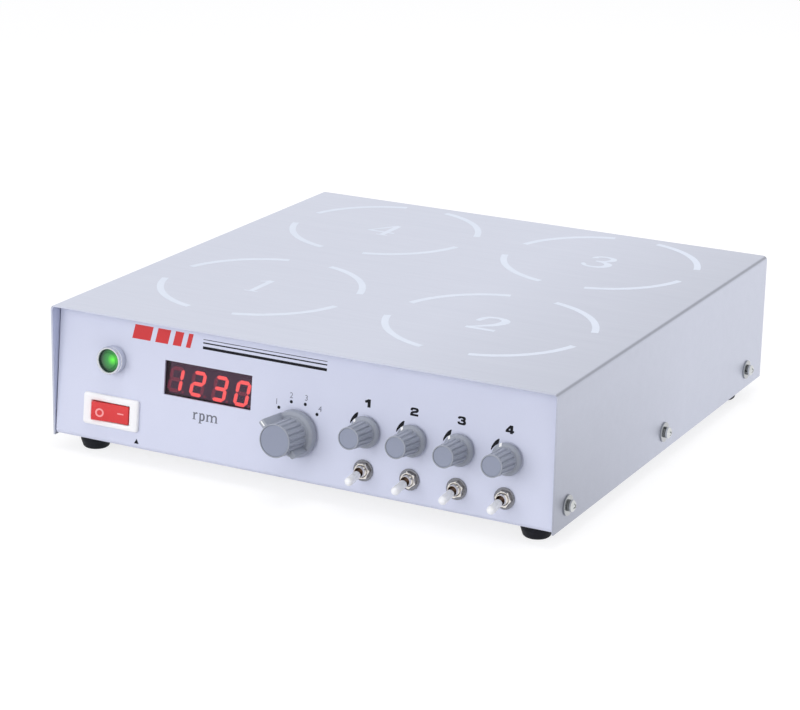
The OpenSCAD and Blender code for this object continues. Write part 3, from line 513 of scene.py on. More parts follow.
class Shape:
    """A mesh in the making, in millimetres."""

    def __init__(self) -> None:
        """Starts with an empty mesh."""
        self.bm = bmesh.new()

    def loft(self, loops: Sequence[Loop], ring: bool = False) -> "Shape":
        """Joins loops of one length by faces.

        Args:
            loops: The loops, in order.
            ring: Joins the last loop to the first one; otherwise both ends are closed.

        Returns:
            The shape itself.
        """
        rows = [[self.bm.verts.new(p) for p in loop] for loop in loops]
        pairs = list(zip(rows, rows[1:])) + ([(rows[-1], rows[0])] if ring else [])
        count = len(rows[0])
        for a, b in pairs:
            for i in range(count):
                j = (i + 1) % count
                self.bm.faces.new((a[i], a[j], b[j], b[i]))
        if not ring:
            self.bm.faces.new(rows[0][::-1])
            self.bm.faces.new(rows[-1])
        return self

    def lathe(self, profile: Sequence[Sequence[float]], count: int = 64, ring: bool = False,
              flute: Callable[[float], float] | None = None) -> "Shape":
        """Turns a profile about the Z axis.

        Args:
            profile: Radius and height of each row, and for a fluted row the share of the flutes.
            count: Points round the axis.
            ring: Joins the end of the profile to its start, for a piece with a hole.
            flute: How far the surface lies inwards at an angle, in millimetres.

        Returns:
            The shape itself.
        """
        angles = [2 * math.pi * i / count for i in range(count)]
        loops = []
        for radius, height, *share in profile:
            depths = [share[0] * flute(a) if share and flute else 0.0 for a in angles]
            loops.append([polar(max(radius - d, 1e-6), a, height) for a, d in zip(angles, depths)])
        return self.loft(loops, ring)

    def slab(self, outline: Sequence[Point], low: float, high: float) -> "Shape":
        """Adds a flat plate with that outline between two heights, and returns the shape."""
        return self.loft([[Vector((x, y, z)) for x, y in outline] for z in (low, high)])

    def ribbon(self, path: Sequence[Corner], low: float, high: float) -> "Shape":
        """Adds a flat stroke along a path of points with half widths, and returns the shape.

        In a tight bend the inner edge waits, so that the stroke doesn't fold over itself.
        """
        points = [Vector((x, y)) for x, y, _ in path]
        left, right = [], []
        for i, p in enumerate(points):
            way = (points[min(i + 1, len(points) - 1)] - points[max(i - 1, 0)]).normalized()
            across = Vector((-way.y, way.x)) * path[i][2]
            for edge, q in ((left, p + across), (right, p - across)):
                back = edge and (q - edge[-1]).dot(way) <= 0
                edge.append(edge[-1] if back else q)
        loops = [[Vector((*q, z)) for q, z in ((a, low), (b, low), (b, high), (a, high))]
                 for a, b in zip(left, right)]
        return self.loft(loops)

    def move(self, x: float = 0.0, y: float = 0.0, z: float = 0.0, turn: float = 0.0) -> "Shape":
        """Turns the shape about Z by degrees, then shifts it, and returns it."""
        self.bm.transform(Matrix.Translation((x, y, z)) @ Matrix.Rotation(math.radians(turn), 4, "Z"))
        return self

    def tilt(self, degrees: float, axis: str, level: float) -> "Shape":
        """Tips the shape about an axis through the origin, raises it to a level and returns it."""
        self.bm.transform(Matrix.Translation((0, 0, level)) @ Matrix.Rotation(math.radians(degrees), 4, axis))
        return self

    def drape(self, height: Callable[[float, float], float]) -> "Shape":
        """Raises each point by the height of a surface under it, and returns the shape."""
        for v in self.bm.verts:
            v.co.z += height(v.co.x, v.co.y)
        return self

    def join(self, other: "Shape") -> "Shape":
        """Takes in another shape and returns this one."""
        mesh = other.mesh("joined")
        self.bm.from_mesh(mesh)
        bpy.data.meshes.remove(mesh)
        return self

    def bevel(self, width: float, angle: float = 30.0, segments: int = 3) -> "Shape":
        """Rounds every edge sharper than an angle in degrees, and returns the shape."""
        bmesh.ops.remove_doubles(self.bm, verts=self.bm.verts, dist=WELD)
        bmesh.ops.recalc_face_normals(self.bm, faces=self.bm.faces)
        sharp = [e for e in self.bm.edges if e.calc_face_angle(0.0) > math.radians(angle)]
        bmesh.ops.bevel(self.bm, geom=sharp, offset=width, offset_type="OFFSET", segments=segments,
                        profile=0.5, affect="EDGES", clamp_overlap=True)
        return self

    def mesh(self, name: str) -> bpy.types.Mesh:
        """Ends the making and returns the mesh, with doubles merged and faces outwards."""
        bmesh.ops.remove_doubles(self.bm, verts=self.bm.verts, dist=WELD)
        bmesh.ops.recalc_face_normals(self.bm, faces=self.bm.faces)
        mesh = bpy.data.meshes.new(name)
        self.bm.to_mesh(mesh)
        self.bm.free()
        return mesh

    def carve(self, other: "Shape", way: Carve) -> "Shape":
        """Unites the shape with another one, or cuts that one out of it.

        Args:
            other: The other shape.
            way: What to do with it.

        Returns:
            A new shape.
        """
        body, tool = (link_object(bpy.data.objects.new(n, s.mesh(n)))
                      for n, s in (("carve_body", self), ("carve_tool", other)))
        step = body.modifiers.new("carve", "BOOLEAN")
        step.operation, step.object, step.solver = way.value, tool, "EXACT"
        result = plain_mesh(body)
        made = Shape()
        made.bm.from_mesh(result)
        for obj in (body, tool):
            drop_object(obj)
        bpy.data.meshes.remove(result)
        return made

    def piece(self, name: str, place: Matrix, finish: Finish, slot: Slot, body: str = "housing",
              replaces: Sequence[str] = (), uv_radius: float = 0.0) -> bpy.types.Object:
        """Makes the shape a finished piece of the object.

        Args:
            name: The piece's name.
            place: Matrix from the shape's millimetres to the shared frame.
            finish: The piece's finish.
            slot: The record's slot that it stands for; not used.
            body: The body that it moves with.
            replaces: Solids that it stands for.
            uv_radius: Half width of a flat UV map from -1 to 1, or 0 for none.

        Returns:
            The new object.
        """
        if uv_radius:
            layer = self.bm.loops.layers.uv.new("flat")
            for face in self.bm.faces:
                for corner in face.loops:
                    corner[layer].uv = corner.vert.co.xy / uv_radius
        mesh = self.mesh(name)
        mesh.transform(place)
        mesh.materials.append(finish.material())
        return settle(name, mesh, body, replaces)


def link_object(obj: bpy.types.Object) -> bpy.types.Object:
    """Puts an object into the scene and returns it."""
    bpy.context.scene.collection.objects.link(obj)
    return obj


def drop_object(obj: bpy.types.Object) -> None:
    """Removes a helper object and its data."""
    data = obj.data
    bpy.data.objects.remove(obj)
    (bpy.data.meshes if isinstance(data, bpy.types.Mesh) else bpy.data.curves).remove(data)


def plain_mesh(obj: bpy.types.Object) -> bpy.types.Mesh:
    """Returns an object's mesh with its modifiers carried out."""
    graph = bpy.context.evaluated_depsgraph_get()
    return bpy.data.meshes.new_from_object(obj.evaluated_get(graph), depsgraph=graph)


def settle(name: str, mesh: bpy.types.Mesh, body: str, replaces: Sequence[str] = ()
           ) -> bpy.types.Object:
    """Puts a finished mesh on its body and the solids that it stands for.

    Args:
        name: The piece's name.
        mesh: The mesh, in place.
        body: The body that it moves with.
        replaces: Solids that it stands for.

    Returns:
        The new object.
    """
    mesh.polygons.foreach_set("use_smooth", [True] * len(mesh.polygons))
    mesh.set_sharp_from_angle(angle=math.radians(SHARP_EDGE))
    obj = link_object(bpy.data.objects.new(name, mesh))
    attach(obj, body)
    if replaces:
        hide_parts(*replaces)
    LOG.info("%s: %d faces on %s", name, len(mesh.polygons), body)
    return obj


def dress_nodes(names: Iterable[str], finish: Finish) -> None:
    """Gives a finish to solids that keep their own meshes."""
    for name in names:
        for holder in frame["nodes"][name].material_slots:
            holder.material = finish.material()
        LOG.info("%s: %s", name, finish.name)


def lettering(text: str, height: float) -> Shape:
    """Writes a plain number as a thin solid, centred on the origin.

    Args:
        text: What to write.
        height: Height of the tallest figure.

    Returns:
        The shape.
    """
    half = 0.5
    curve = bpy.data.curves.new("lettering", "FONT")
    curve.body, curve.extrude, curve.resolution_u = text, half, 8
    helper = link_object(bpy.data.objects.new("lettering", curve))
    mesh = plain_mesh(helper)
    drop_object(helper)
    shape = Shape()
    shape.bm.from_mesh(mesh)
    bpy.data.meshes.remove(mesh)
    xs, ys = ([v.co[k] for v in shape.bm.verts] for k in (0, 1))
    size = height / (max(ys) - min(ys))
    centre = Vector(((max(xs) + min(xs)) / 2, (max(ys) + min(ys)) / 2, -half))
    shape.bm.transform(Matrix.Diagonal((size, size, INK_T, 1)) @ Matrix.Translation(-centre))
    return shape


class NodeTool:
    """A Geometry Nodes tree that sets a shape on points, each with its own turn."""

    def __init__(self, name: str, inputs: Sequence[tuple[str, str]]) -> None:
        """Starts the tree.

        Args:
            name: The tree's name.
            inputs: Name and socket type of each input after the points.
        """
        self.tree = bpy.data.node_groups.new(name, "GeometryNodeTree")
        face = self.tree.interface
        face.new_socket("Points", in_out="INPUT", socket_type="NodeSocketGeometry")
        wanted = [*inputs, ("Size", "NodeSocketFloat"), ("Finish", "NodeSocketMaterial")]
        self.keys = {label: face.new_socket(label, in_out="INPUT", socket_type=kind).identifier
                     for label, kind in wanted}
        face.new_socket("Geometry", in_out="OUTPUT", socket_type="NodeSocketGeometry")
        self.graph = Graph(self.tree)
        self.entry = self.graph.add("NodeGroupInput")

    def close(self, instance: bpy.types.NodeSocket) -> None:
        """Ends the tree: the instance goes on the points, is realized and gets its finish."""
        turn = self.graph.add("GeometryNodeInputNamedAttribute", {"Name": "turn"}, data_type="QUATERNION")
        placed = self.graph.add("GeometryNodeInstanceOnPoints", {
            "Points": self.entry.outputs["Points"], "Instance": instance,
            "Rotation": turn.outputs[0], "Scale": self.entry.outputs["Size"]})
        real = self.graph.add("GeometryNodeRealizeInstances", {0: placed.outputs[0]})
        done = self.graph.add("GeometryNodeSetMaterial", {
            "Geometry": real.outputs[0], "Material": self.entry.outputs["Finish"]})
        self.graph.add("NodeGroupOutput", {0: done.outputs[0]})

    def run(self, name: str, places: Sequence[Matrix], finish: Finish, values: dict[str, object]
            ) -> bpy.types.Mesh:
        """Carries the tree out.

        Args:
            name: Name of the mesh.
            places: Where each copy goes, as a matrix from millimetres to the shared frame.
            finish: The finish of all the copies.
            values: Value of each of the tree's own inputs, by name.

        Returns:
            A plain mesh in the shared frame.
        """
        mesh = bpy.data.meshes.new(name)
        mesh.from_pydata([m.translation for m in places], [], [])
        turns = mesh.attributes.new("turn", "QUATERNION", "POINT")
        for row, m in zip(turns.data, places):
            row.value = m.to_quaternion()
        carrier = link_object(bpy.data.objects.new(name, mesh))
        step = carrier.modifiers.new("set", "NODES")
        step.node_group = self.tree
        for label, value in {**values, "Size": MM, "Finish": finish.material()}.items():
            step[self.keys[label]] = value
        made = plain_mesh(carrier)
        drop_object(carrier)
        made.name = name
        if "turn" in made.attributes:
            made.attributes.remove(made.attributes["turn"])
        return made


class CopyTool(NodeTool):
    """Sets copies of a drawn shape on points."""

    def __init__(self) -> None:
        """Builds the tree."""
        super().__init__("set_copies", [("Piece", "NodeSocketObject")])
        source = self.graph.add("GeometryNodeObjectInfo", {"Object": self.entry.outputs["Piece"]})
        self.close(source.outputs["Geometry"])

    def pieces(self, name: str, shape: Shape, places: Sequence[Matrix], finish: Finish, slot: Slot,
               replaces: Sequence[str] = ()) -> bpy.types.Object:
        """Makes one piece out of copies of a shape, fixed to the housing.

        Args:
            name: The piece's name.
            shape: The shape to copy.
            places: Where the copies go.
            finish: Their finish.
            slot: The record's slot; not used.
            replaces: Solids that the piece stands for.

        Returns:
            The new object.
        """
        source = link_object(bpy.data.objects.new("copy_source", shape.mesh("copy_source")))
        mesh = self.run(name, places, finish, {"Piece": source})
        drop_object(source)
        return settle(name, mesh, "housing", replaces)


class ArcTool(NodeTool):
    """Sets flat printed arcs on points."""

    def __init__(self) -> None:
        """Builds the tree: an arc swept by a flat section."""
        sizes = ("Radius", "Width", "Thickness", "Start", "Sweep")
        super().__init__("set_arcs", [(label, "NodeSocketFloat") for label in sizes])
        get = self.entry.outputs
        arc = self.graph.add("GeometryNodeCurveArc", {
            "Resolution": 40, "Radius": get["Radius"], "Start Angle": get["Start"],
            "Sweep Angle": get["Sweep"]})
        level = self.graph.add("GeometryNodeSetCurveNormal", {"Curve": arc.outputs["Curve"]}, mode="Z_UP")
        section = self.graph.add("GeometryNodeCurvePrimitiveQuadrilateral", {
            "Width": get["Width"], "Height": get["Thickness"]})
        swept = self.graph.add("GeometryNodeCurveToMesh", {
            "Curve": level.outputs[0], "Profile Curve": section.outputs[0], "Fill Caps": True})
        self.close(swept.outputs[0])


@dataclass(frozen=True)
class Face:
    """A flat face of the housing, with axes of its own."""

    foot: Vector
    right: Vector
    up: Vector
    out: Vector

    def at(self, x: float, v: float, n: float = 0.0, turn: float = 0.0) -> Matrix:
        """Gives the matrix of a place on the face.

        Args:
            x: Millimetres to the right of the foot.
            v: Millimetres up the face.
            n: Millimetres out of the face.
            turn: Degrees that a shape is turned by, about the outward axis.

        Returns:
            Matrix from a shape's millimetres to the shared frame.
        """
        axes = Matrix((self.right, self.up, self.out)).transposed().to_4x4()
        origin = self.foot + MM * (x * self.right + v * self.up + n * self.out)
        spin = Matrix.Rotation(math.radians(turn), 4, "Z")
        return Matrix.Translation(origin) @ axes @ spin @ Matrix.Scale(MM, 4)


class Faces:
    """The housing's faces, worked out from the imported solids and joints."""

    def __init__(self) -> None:
        """Reads the cover's box and the axes of the front controls."""
        joints = {j["name"]: j for j in frame["joints"]}
        low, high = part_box("top_cover")
        self.low, self.high = low, high
        out = Vector(joints["selector_turn"]["axis"]).normalized()
        up = -Vector(joints["power_rock"]["axis"]).normalized()
        pivot = Vector(joints["selector_turn"]["pos_m"])
        foot = pivot + up * (low.z - pivot.z) / up.z
        right = Vector((1, 0, 0))
        self.front = Face(Vector((0, foot.y, low.z)), right, up, out)
        self.top = Face(Vector((0, 0, high.z)), right, Vector((0, 1, 0)), Vector((0, 0, 1)))
        rear = Vector(joints["fuse_cap_turn"]["pos_m"])
        self.rear = Face(Vector((0, rear.y, low.z)), -right, Vector((0, 0, 1)), Vector((0, 1, 0)))
        self.sides = [Face(Vector((x, low.y, low.z)), Vector((0, s, 0)), Vector((0, 0, 1)), Vector((s, 0, 0)))
                      for x, s in ((high.x, 1), (low.x, -1))]
        self.joints = joints

    def along_front(self, point: Vector) -> Point:
        """Returns where a point lies along the front panel, in millimetres."""
        away = point - self.front.foot
        return away.dot(self.front.right) / MM, away.dot(self.front.up) / MM

    def on_front(self, joint: str) -> Point:
        """Returns where a joint's axis meets the front panel, in millimetres along it."""
        return self.along_front(Vector(self.joints[joint]["pos_m"]))

    def centre_on_front(self, node: str) -> Point:
        """Returns the middle of a solid on the front panel, in millimetres along it."""
        return self.along_front(sum(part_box(node), Vector()) / 2)


@dataclass
class Tools:
    """What every sub-assembly builds with."""

    faces: Faces
    copies: CopyTool
    arcs: ArcTool


def thread_rows(radius: float, depth: float, pitch: float, start: float, turns: int) -> list[Point]:
    """Draws the profile of a thread.

    Args:
        radius: Radius over its crests.
        depth: Depth of its grooves.
        pitch: Height of a turn.
        start: Height of its lowest groove.
        turns: Number of turns.

    Returns:
        The points of the profile, from the lowest up.
    """
    rows: list[Point] = []
    for k in range(turns):
        z = start + k * pitch
        rows += [(radius - depth, z), (radius, z + pitch / 2)]
    return rows


def screw_shape(head_r: float, rim: float, dome: float, shank_r: float, length: float) -> Shape:
    """Draws a domed screw with a cross recess and a threaded shank.

    Args:
        head_r: Radius of the head.
        rim: Height of the head's straight rim.
        dome: Height of the dome over the rim.
        shank_r: Radius of the shank.
        length: Length of the shank.

    Returns:
        The shape, with the head's underside on the XY plane.
    """
    pitch, groove, point = 0.5, 0.3, 0.3
    thread = thread_rows(shank_r, groove, pitch, point - length, int(length / pitch) - 1)
    crown = rim + dome
    ball = (head_r ** 2 + dome ** 2) / (2 * dome)
    reach = [head_r * math.cos(math.radians(9 * k)) for k in range(1, 11)]
    top = [(r, crown - ball + math.sqrt(ball ** 2 - r ** 2)) for r in reach]
    head = soften([(shank_r, 0, 0), (head_r, 0, 0.15), (head_r, rim, 0.25), (*top[0], 0)])
    tip = [(0, -length), (shank_r - 0.4, -length)]
    body = Shape().lathe([*tip, *thread, (shank_r, -SEAT), *head, *top[1:]], 40)
    depth, arm, half = 1.3, head_r * 0.62, 0.45
    rows = ((2 * (arm - 0.5), 2 * half * 0.6, crown - depth), (2 * arm, 2 * half, crown - 0.2),
            (2 * arm + 0.2, 2 * half + 0.2, crown + 1))
    bars = [Shape().loft([round_rect(w, h, 0.1, z, 2) for w, h, z in rows]).move(turn=turn)
            for turn in (0, 90)]
    return body.carve(bars[0].carve(bars[1], Carve.UNITE), Carve.CUT)


def ring_shape(outer: float, inner: float, low: float, high: float, edge: float, count: int = 56) -> Shape:
    """Draws a flat ring with soft edges.

    Args:
        outer: Outer radius.
        inner: Radius of the hole.
        low: Height of its underside.
        high: Height of its top.
        edge: Radius of its edges.
        count: Points round the axis.

    Returns:
        The shape.
    """
    middle = (low + high) / 2
    profile = soften([(inner, middle, 0), (inner, high, edge), (outer, high, edge), (outer, low, edge),
                      (inner, low, edge), (inner, middle, 0)], 3)
    return Shape().lathe(profile[:-1], count, True)


def nut_shape(corner_r: float, hole: float, low: float, high: float) -> Shape:
    """Draws a six-sided nut with chamfered corners.

    Args:
        corner_r: Radius to the corners.
        hole: Radius of the hole.
        low: Height of its underside.
        high: Height of its top.

    Returns:
        The shape.
    """
    flat = corner_r * math.cos(math.pi / 6)
    count = 96
    angles = [2 * math.pi * i / count for i in range(count)]
    sides = [flat / math.cos(a % (math.pi / 3) - math.pi / 6) for a in angles]
    drop = 0.5 * (corner_r - flat) + 0.12
    cones = [(low, flat - 0.1), (low + 0.3, flat + 0.35), (low + drop, corner_r), (high - drop, corner_r),
             (high - 0.3, flat + 0.35), (high, flat - 0.1)]
    loops = [[polar(min(cone, side), a, z) for a, side in zip(angles, sides)] for z, cone in cones]
    bore = ((hole + 0.35, high), (hole, high - 0.35), (hole, low + 0.3), (hole + 0.3, low))
    loops += [[polar(r, a, z) for a in angles] for r, z in bore]
    return Shape().loft(loops, True)


@dataclass
class Housing:
    """The folded cover and chassis with their fasteners and feet."""

    tools: Tools
    sheet: float = 1.0
    bend_r: float = 2.6
    edge: float = 0.2
    print_room: float = 0.03
    washer_r: float = 5.5
    washer_t: float = 0.8
    spring_r: float = 3.0
    spring_t: float = 1.0
    spring_edge: float = 0.1
    spring_start: float = 46.0
    spring_sweep: float = 348.0
    spring_rise: float = 0.18
    spring_steps: int = 48
    spring_turns: tuple[float, ...] = (20, 75, 140, 10, 95, 50)
    hole_r: float = 1.7
    head: tuple[float, float, float] = (3.1, 1.1, 1.5)
    shank_r: float = 1.5
    shank: float = 9.0
    screw_turns: tuple[float, ...] = (18, 52, 33, 71, 8, 40)
    foot_front: Point = (16.5, 17.3)
    foot_rear: Point = (14.0, 25.0)
    foot_r: float = 8.5
    foot_h: float = 9.2
    foot_sink: float = 3.4
    foot_screw: float = 9.4
    foot_screw_turn: float = 30.0

    def build(self) -> None:
        """Builds and dresses the housing."""
        self.cover()
        dress_nodes(["chassis"], PANEL_PAINT)
        self.side_fasteners()
        self.feet()

    def arch(self, half: float, high: float, radius: float, low: float) -> list[Point]:
        """Draws one surface of the folded sheet.

        Args:
            half: Half of its width.
            high: Height of its top.
            radius: Radius of its bends.
            low: Height of its lower ends.

        Returns:
            Its points from the right end over the top to the left end.
        """
        bend = [(half - radius + radius * math.cos(a), high - radius + radius * math.sin(a))
                for a in (math.radians(90 * k / 8) for k in range(9))]
        right = [(half, low), (half, low + self.edge), (half, high - radius - self.edge), *bend,
                 (half - radius - self.edge, high)]
        return [*right, *[(-x, z) for x, z in reversed(right)]]

    def cover(self) -> None:
        """Builds the folded cover, with room for the print on its top."""
        faces = self.tools.faces
        low, size = faces.low / MM, (faces.high - faces.low) / MM
        half, high = size.x / 2, size.z - self.print_room
        front, rear = low.y, low.y + size.y
        loops = []
        for y, trim in ((front, self.edge), (front + self.edge, 0.0), (front + 2 * self.edge, 0.0),
                        (rear - 2 * self.edge, 0.0), (rear - self.edge, 0.0), (rear, self.edge)):
            outer = self.arch(half - trim, high - trim, self.bend_r - trim, trim)
            inner = self.arch(half - self.sheet + trim, high - self.sheet + trim,
                              self.bend_r - self.sheet + trim, trim)
            loops.append([Vector((x, y, low.z + z)) for x, z in [*outer, *reversed(inner)]])
        holes = Shape()
        for place in self.side_places(0.0, (0,)):
            drill = Shape().lathe([(0, -3), (self.hole_r, -3), (self.hole_r, 1), (0, 1)], 32)
            drill.bm.transform(Matrix.Scale(1 / MM, 4) @ place)
            holes.join(drill)
        Shape().loft(loops).carve(holes, Carve.CUT).piece(
            "folded_cover", Matrix.Scale(MM, 4), COVER_STEEL, Slot.COVER, "housing", ["top_cover"])

    def side_places(self, out: float, turns: Sequence[float]) -> list[Matrix]:
        """Returns the places of the six side screws, at a distance from the cover's sides."""
        faces = self.tools.faces
        low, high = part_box("cover_washers")
        front = (low.y - faces.low.y) / MM + self.washer_r
        rear = (high.y - faces.low.y) / MM - self.washer_r
        level = ((low.z + high.z) / 2 - faces.low.z) / MM
        spots = (front, (front + rear) / 2, rear)
        return [face.at(y if k == 0 else -y, level, out, turns[(3 * k + i) % len(turns)])
                for k, face in enumerate(faces.sides) for i, y in enumerate(spots)]

    def side_fasteners(self) -> None:
        """Builds the washers, spring washers and screws on both sides."""
        copies = self.tools.copies
        washer = ring_shape(self.washer_r, self.hole_r, 0, self.washer_t, 0.12)
        copies.pieces("side_washers", washer, self.side_places(SEAT, (0,)), WASHER_STEEL, Slot.FASTENER,
                      ["cover_washers"])
        copies.pieces("side_spring_washers", self.spring_washer(),
                      self.side_places(self.washer_t + 2 * SEAT, self.spring_turns), SPRING_STEEL,
                      Slot.SPRING, ["cover_spring_washers"])
        screw = screw_shape(*self.head, self.shank_r, self.shank)
        copies.pieces("side_screws", screw,
                      self.side_places(self.washer_t + self.spring_t + 3 * SEAT, self.screw_turns), ZINC,
                      Slot.FASTENER, ["cover_screws"])

    def spring_washer(self) -> Shape:
        """Draws a split washer whose ends stand apart, and returns it."""
        low, high = self.spring_edge, self.spring_t - self.spring_edge
        section = ((self.hole_r, low), (self.spring_r, low), (self.spring_r, high), (self.hole_r, high))
        loops = []
        for k in range(self.spring_steps + 1):
            share = k / self.spring_steps
            a = math.radians(self.spring_start + self.spring_sweep * share)
            lift = self.spring_rise * (share - 0.5)
            loops.append([polar(r, a, z + lift) for r, z in section])
        return Shape().loft(loops)

    def feet(self) -> None:
        """Builds the rubber feet and the screws in them."""
        faces, copies = self.tools.faces, self.tools.copies
        low, high = faces.low / MM, faces.high / MM
        (front_x, front_y), (rear_x, rear_y) = self.foot_front, self.foot_rear
        spots = [(x, y) for dx, y in ((front_x, low.y + front_y), (rear_x, high.y - rear_y))
                 for x in (low.x + dx, high.x - dx)]
        floor = Face(Vector((0, 0, 0)), Vector((1, 0, 0)), Vector((0, 1, 0)), Vector((0, 0, 1)))
        top, r, sink_r = self.foot_h - SEAT, self.foot_r, self.head[0] + 0.4
        profile = soften([(self.hole_r, self.foot_sink + 1, 0), (self.hole_r, top, 0.1), (r - 1.0, top, 0.1),
                          (r - 0.9, top - 0.7, 0.2), (r, top - 0.8, 0.3), (r, 4.6, 1.2), (r - 1.2, 0.8, 0.7),
                          (r - 2.0, 0, 0.4), (sink_r + 0.4, 0, 0.2), (sink_r, 0.4, 0.1),
                          (sink_r, self.foot_sink, 0.1), (self.hole_r, self.foot_sink, 0.1),
                          (self.hole_r, self.foot_sink + 1, 0)])
        copies.pieces("rubber_feet", Shape().lathe(profile[:-1], 64, True),
                      [floor.at(x, y) for x, y in spots], RUBBER, Slot.RUBBER, ["feet"])
        under = Face(Vector((0, 0, 0)), Vector((1, 0, 0)), Vector((0, -1, 0)), Vector((0, 0, -1)))
        screw = screw_shape(*self.head, self.shank_r, self.foot_screw)
        copies.pieces("foot_screws_dressed", screw,
                      [under.at(x, -y, SEAT - self.foot_sink, self.foot_screw_turn) for x, y in spots], ZINC,
                      Slot.FASTENER, ["foot_screws"])


# Strokes of the numerals on the top, on a height of 1
NUMERALS: dict[str, list[Stroke]] = {
    "1": [(False, [(0.30, 0.01, 0.05), (0.30, 0.99, 0.055)]),
          (True, [(0.12, 0.84, 0.015), (0.20, 0.88, 0.022), (0.28, 0.97, 0.03)]),
          (False, [(0.16, 0.015, 0.015), (0.44, 0.015, 0.015)])],
    "2": [(True, [(0.03, 0.58, 0.045), (0.05, 0.76, 0.055), (0.12, 0.92, 0.05), (0.27, 0.98, 0.04),
                  (0.43, 0.91, 0.065), (0.49, 0.75, 0.085), (0.42, 0.50, 0.07), (0.24, 0.27, 0.045),
                  (0.03, 0.06, 0.03)]),
          (False, [(0.0, 0.05, 0.05), (0.55, 0.05, 0.045)])],
    "3": [(True, [(0.11, 0.78, 0.065), (0.10, 0.84, 0.05), (0.15, 0.93, 0.035), (0.29, 0.98, 0.035),
                  (0.44, 0.90, 0.055), (0.46, 0.75, 0.065), (0.37, 0.60, 0.045), (0.20, 0.54, 0.025)]),
          (True, [(0.20, 0.54, 0.025), (0.38, 0.50, 0.045), (0.51, 0.35, 0.075), (0.48, 0.15, 0.065),
                  (0.31, 0.03, 0.04), (0.14, 0.07, 0.035), (0.07, 0.18, 0.05), (0.09, 0.23, 0.065)])],
    "4": [(False, [(0.40, 0.98, 0.03), (0.03, 0.29, 0.028)]),
          (False, [(0.01, 0.28, 0.032), (0.58, 0.28, 0.032)]),
          (False, [(0.41, 0.97, 0.055), (0.41, 0.03, 0.055)]),
          (False, [(0.29, 0.015, 0.015), (0.53, 0.015, 0.015)])],
}
# Strokes of the wide numerals over the speed knobs, on a height of 1
BLOCK_NUMERALS: dict[str, list[Stroke]] = {
    "1": [(False, [(0.66, 0.0, 0.19), (0.66, 1.0, 0.19)]),
          (True, [(0.14, 0.66, 0.12), (0.38, 0.72, 0.15), (0.60, 0.88, 0.12)])],
    "2": [(True, [(0.14, 0.62, 0.13), (0.17, 0.80, 0.14), (0.32, 0.88, 0.12), (0.55, 0.88, 0.12),
                  (0.80, 0.84, 0.14), (0.86, 0.70, 0.16), (0.76, 0.56, 0.14), (0.50, 0.49, 0.12),
                  (0.26, 0.40, 0.13), (0.16, 0.25, 0.14), (0.14, 0.08, 0.14)]),
          (False, [(0.0, 0.12, 0.12), (1.0, 0.12, 0.12)])],
    "3": [(True, [(0.14, 0.68, 0.14), (0.18, 0.81, 0.14), (0.34, 0.88, 0.12), (0.56, 0.88, 0.12),
                  (0.79, 0.83, 0.15), (0.81, 0.67, 0.16), (0.68, 0.55, 0.12), (0.40, 0.52, 0.11)]),
          (True, [(0.40, 0.52, 0.11), (0.70, 0.49, 0.12), (0.86, 0.35, 0.16), (0.83, 0.17, 0.16),
                  (0.60, 0.11, 0.12), (0.34, 0.12, 0.12), (0.17, 0.18, 0.14), (0.12, 0.34, 0.14)])],
    "4": [(False, [(0.62, 0.93, 0.14), (0.12, 0.36, 0.12)]),
          (False, [(0.0, 0.27, 0.12), (1.0, 0.27, 0.12)]),
          (False, [(0.70, 0.0, 0.17), (0.70, 1.0, 0.17)])],
}
# Strokes of the unit under the display, on the height of a small letter
UNIT: list[Stroke] = [
    (False, [(0.22, 0.0, 0.10), (0.22, 1.0, 0.10)]),
    (False, [(0.02, 0.03, 0.04), (0.44, 0.03, 0.04)]),
    (False, [(0.04, 0.96, 0.04), (0.22, 0.96, 0.04)]),
    (True, [(0.24, 0.60, 0.05), (0.36, 0.86, 0.07), (0.52, 0.96, 0.08), (0.64, 0.88, 0.10)]),
    (False, [(1.02, -0.42, 0.10), (1.02, 1.0, 0.10)]),
    (False, [(0.82, -0.40, 0.04), (1.24, -0.40, 0.04)]),
    (False, [(0.84, 0.96, 0.04), (1.02, 0.96, 0.04)]),
    (True, [(1.04, 0.78, 0.06), (1.22, 0.96, 0.07), (1.44, 0.86, 0.10), (1.52, 0.50, 0.12),
            (1.44, 0.14, 0.10), (1.22, 0.03, 0.07), (1.04, 0.18, 0.05)]),
    *[(False, [(x, 0.0, 0.10), (x, top, 0.10)]) for x, top in ((1.96, 1.0), (2.54, 0.72), (3.12, 0.72))],
    *[(False, [(x - 0.20, 0.03, 0.04), (x + 0.20, 0.03, 0.04)]) for x in (1.96, 2.54, 3.12)],
    (False, [(1.78, 0.96, 0.04), (1.96, 0.96, 0.04)]),
    *[(True, [(x, 0.66, 0.05), (x + 0.16, 0.89, 0.07), (x + 0.34, 0.95, 0.08), (x + 0.51, 0.85, 0.10),
              (x + 0.56, 0.66, 0.10)]) for x in (1.98, 2.56)],
]


def written(strokes: Sequence[Stroke], width: float, height: float, middle: float) -> Shape:
    """Draws a figure out of its strokes.

    Args:
        strokes: The strokes, on a height of 1.
        width: Millimetres to a unit of width.
        height: Millimetres to a unit of height.
        middle: Where the figure's middle lies, in units of width.

    Returns:
        The shape, centred on the origin.
    """
    shape = Shape()
    for k, (curved, path) in enumerate(strokes):
        flat = [((x - middle) * width, (y - 0.5) * height, half * width)
                for x, y, half in (smooth_path(path) if curved else path)]
        shape.join(Shape().ribbon(flat, 0, INK_T - STROKE_STEP * k))
    return shape


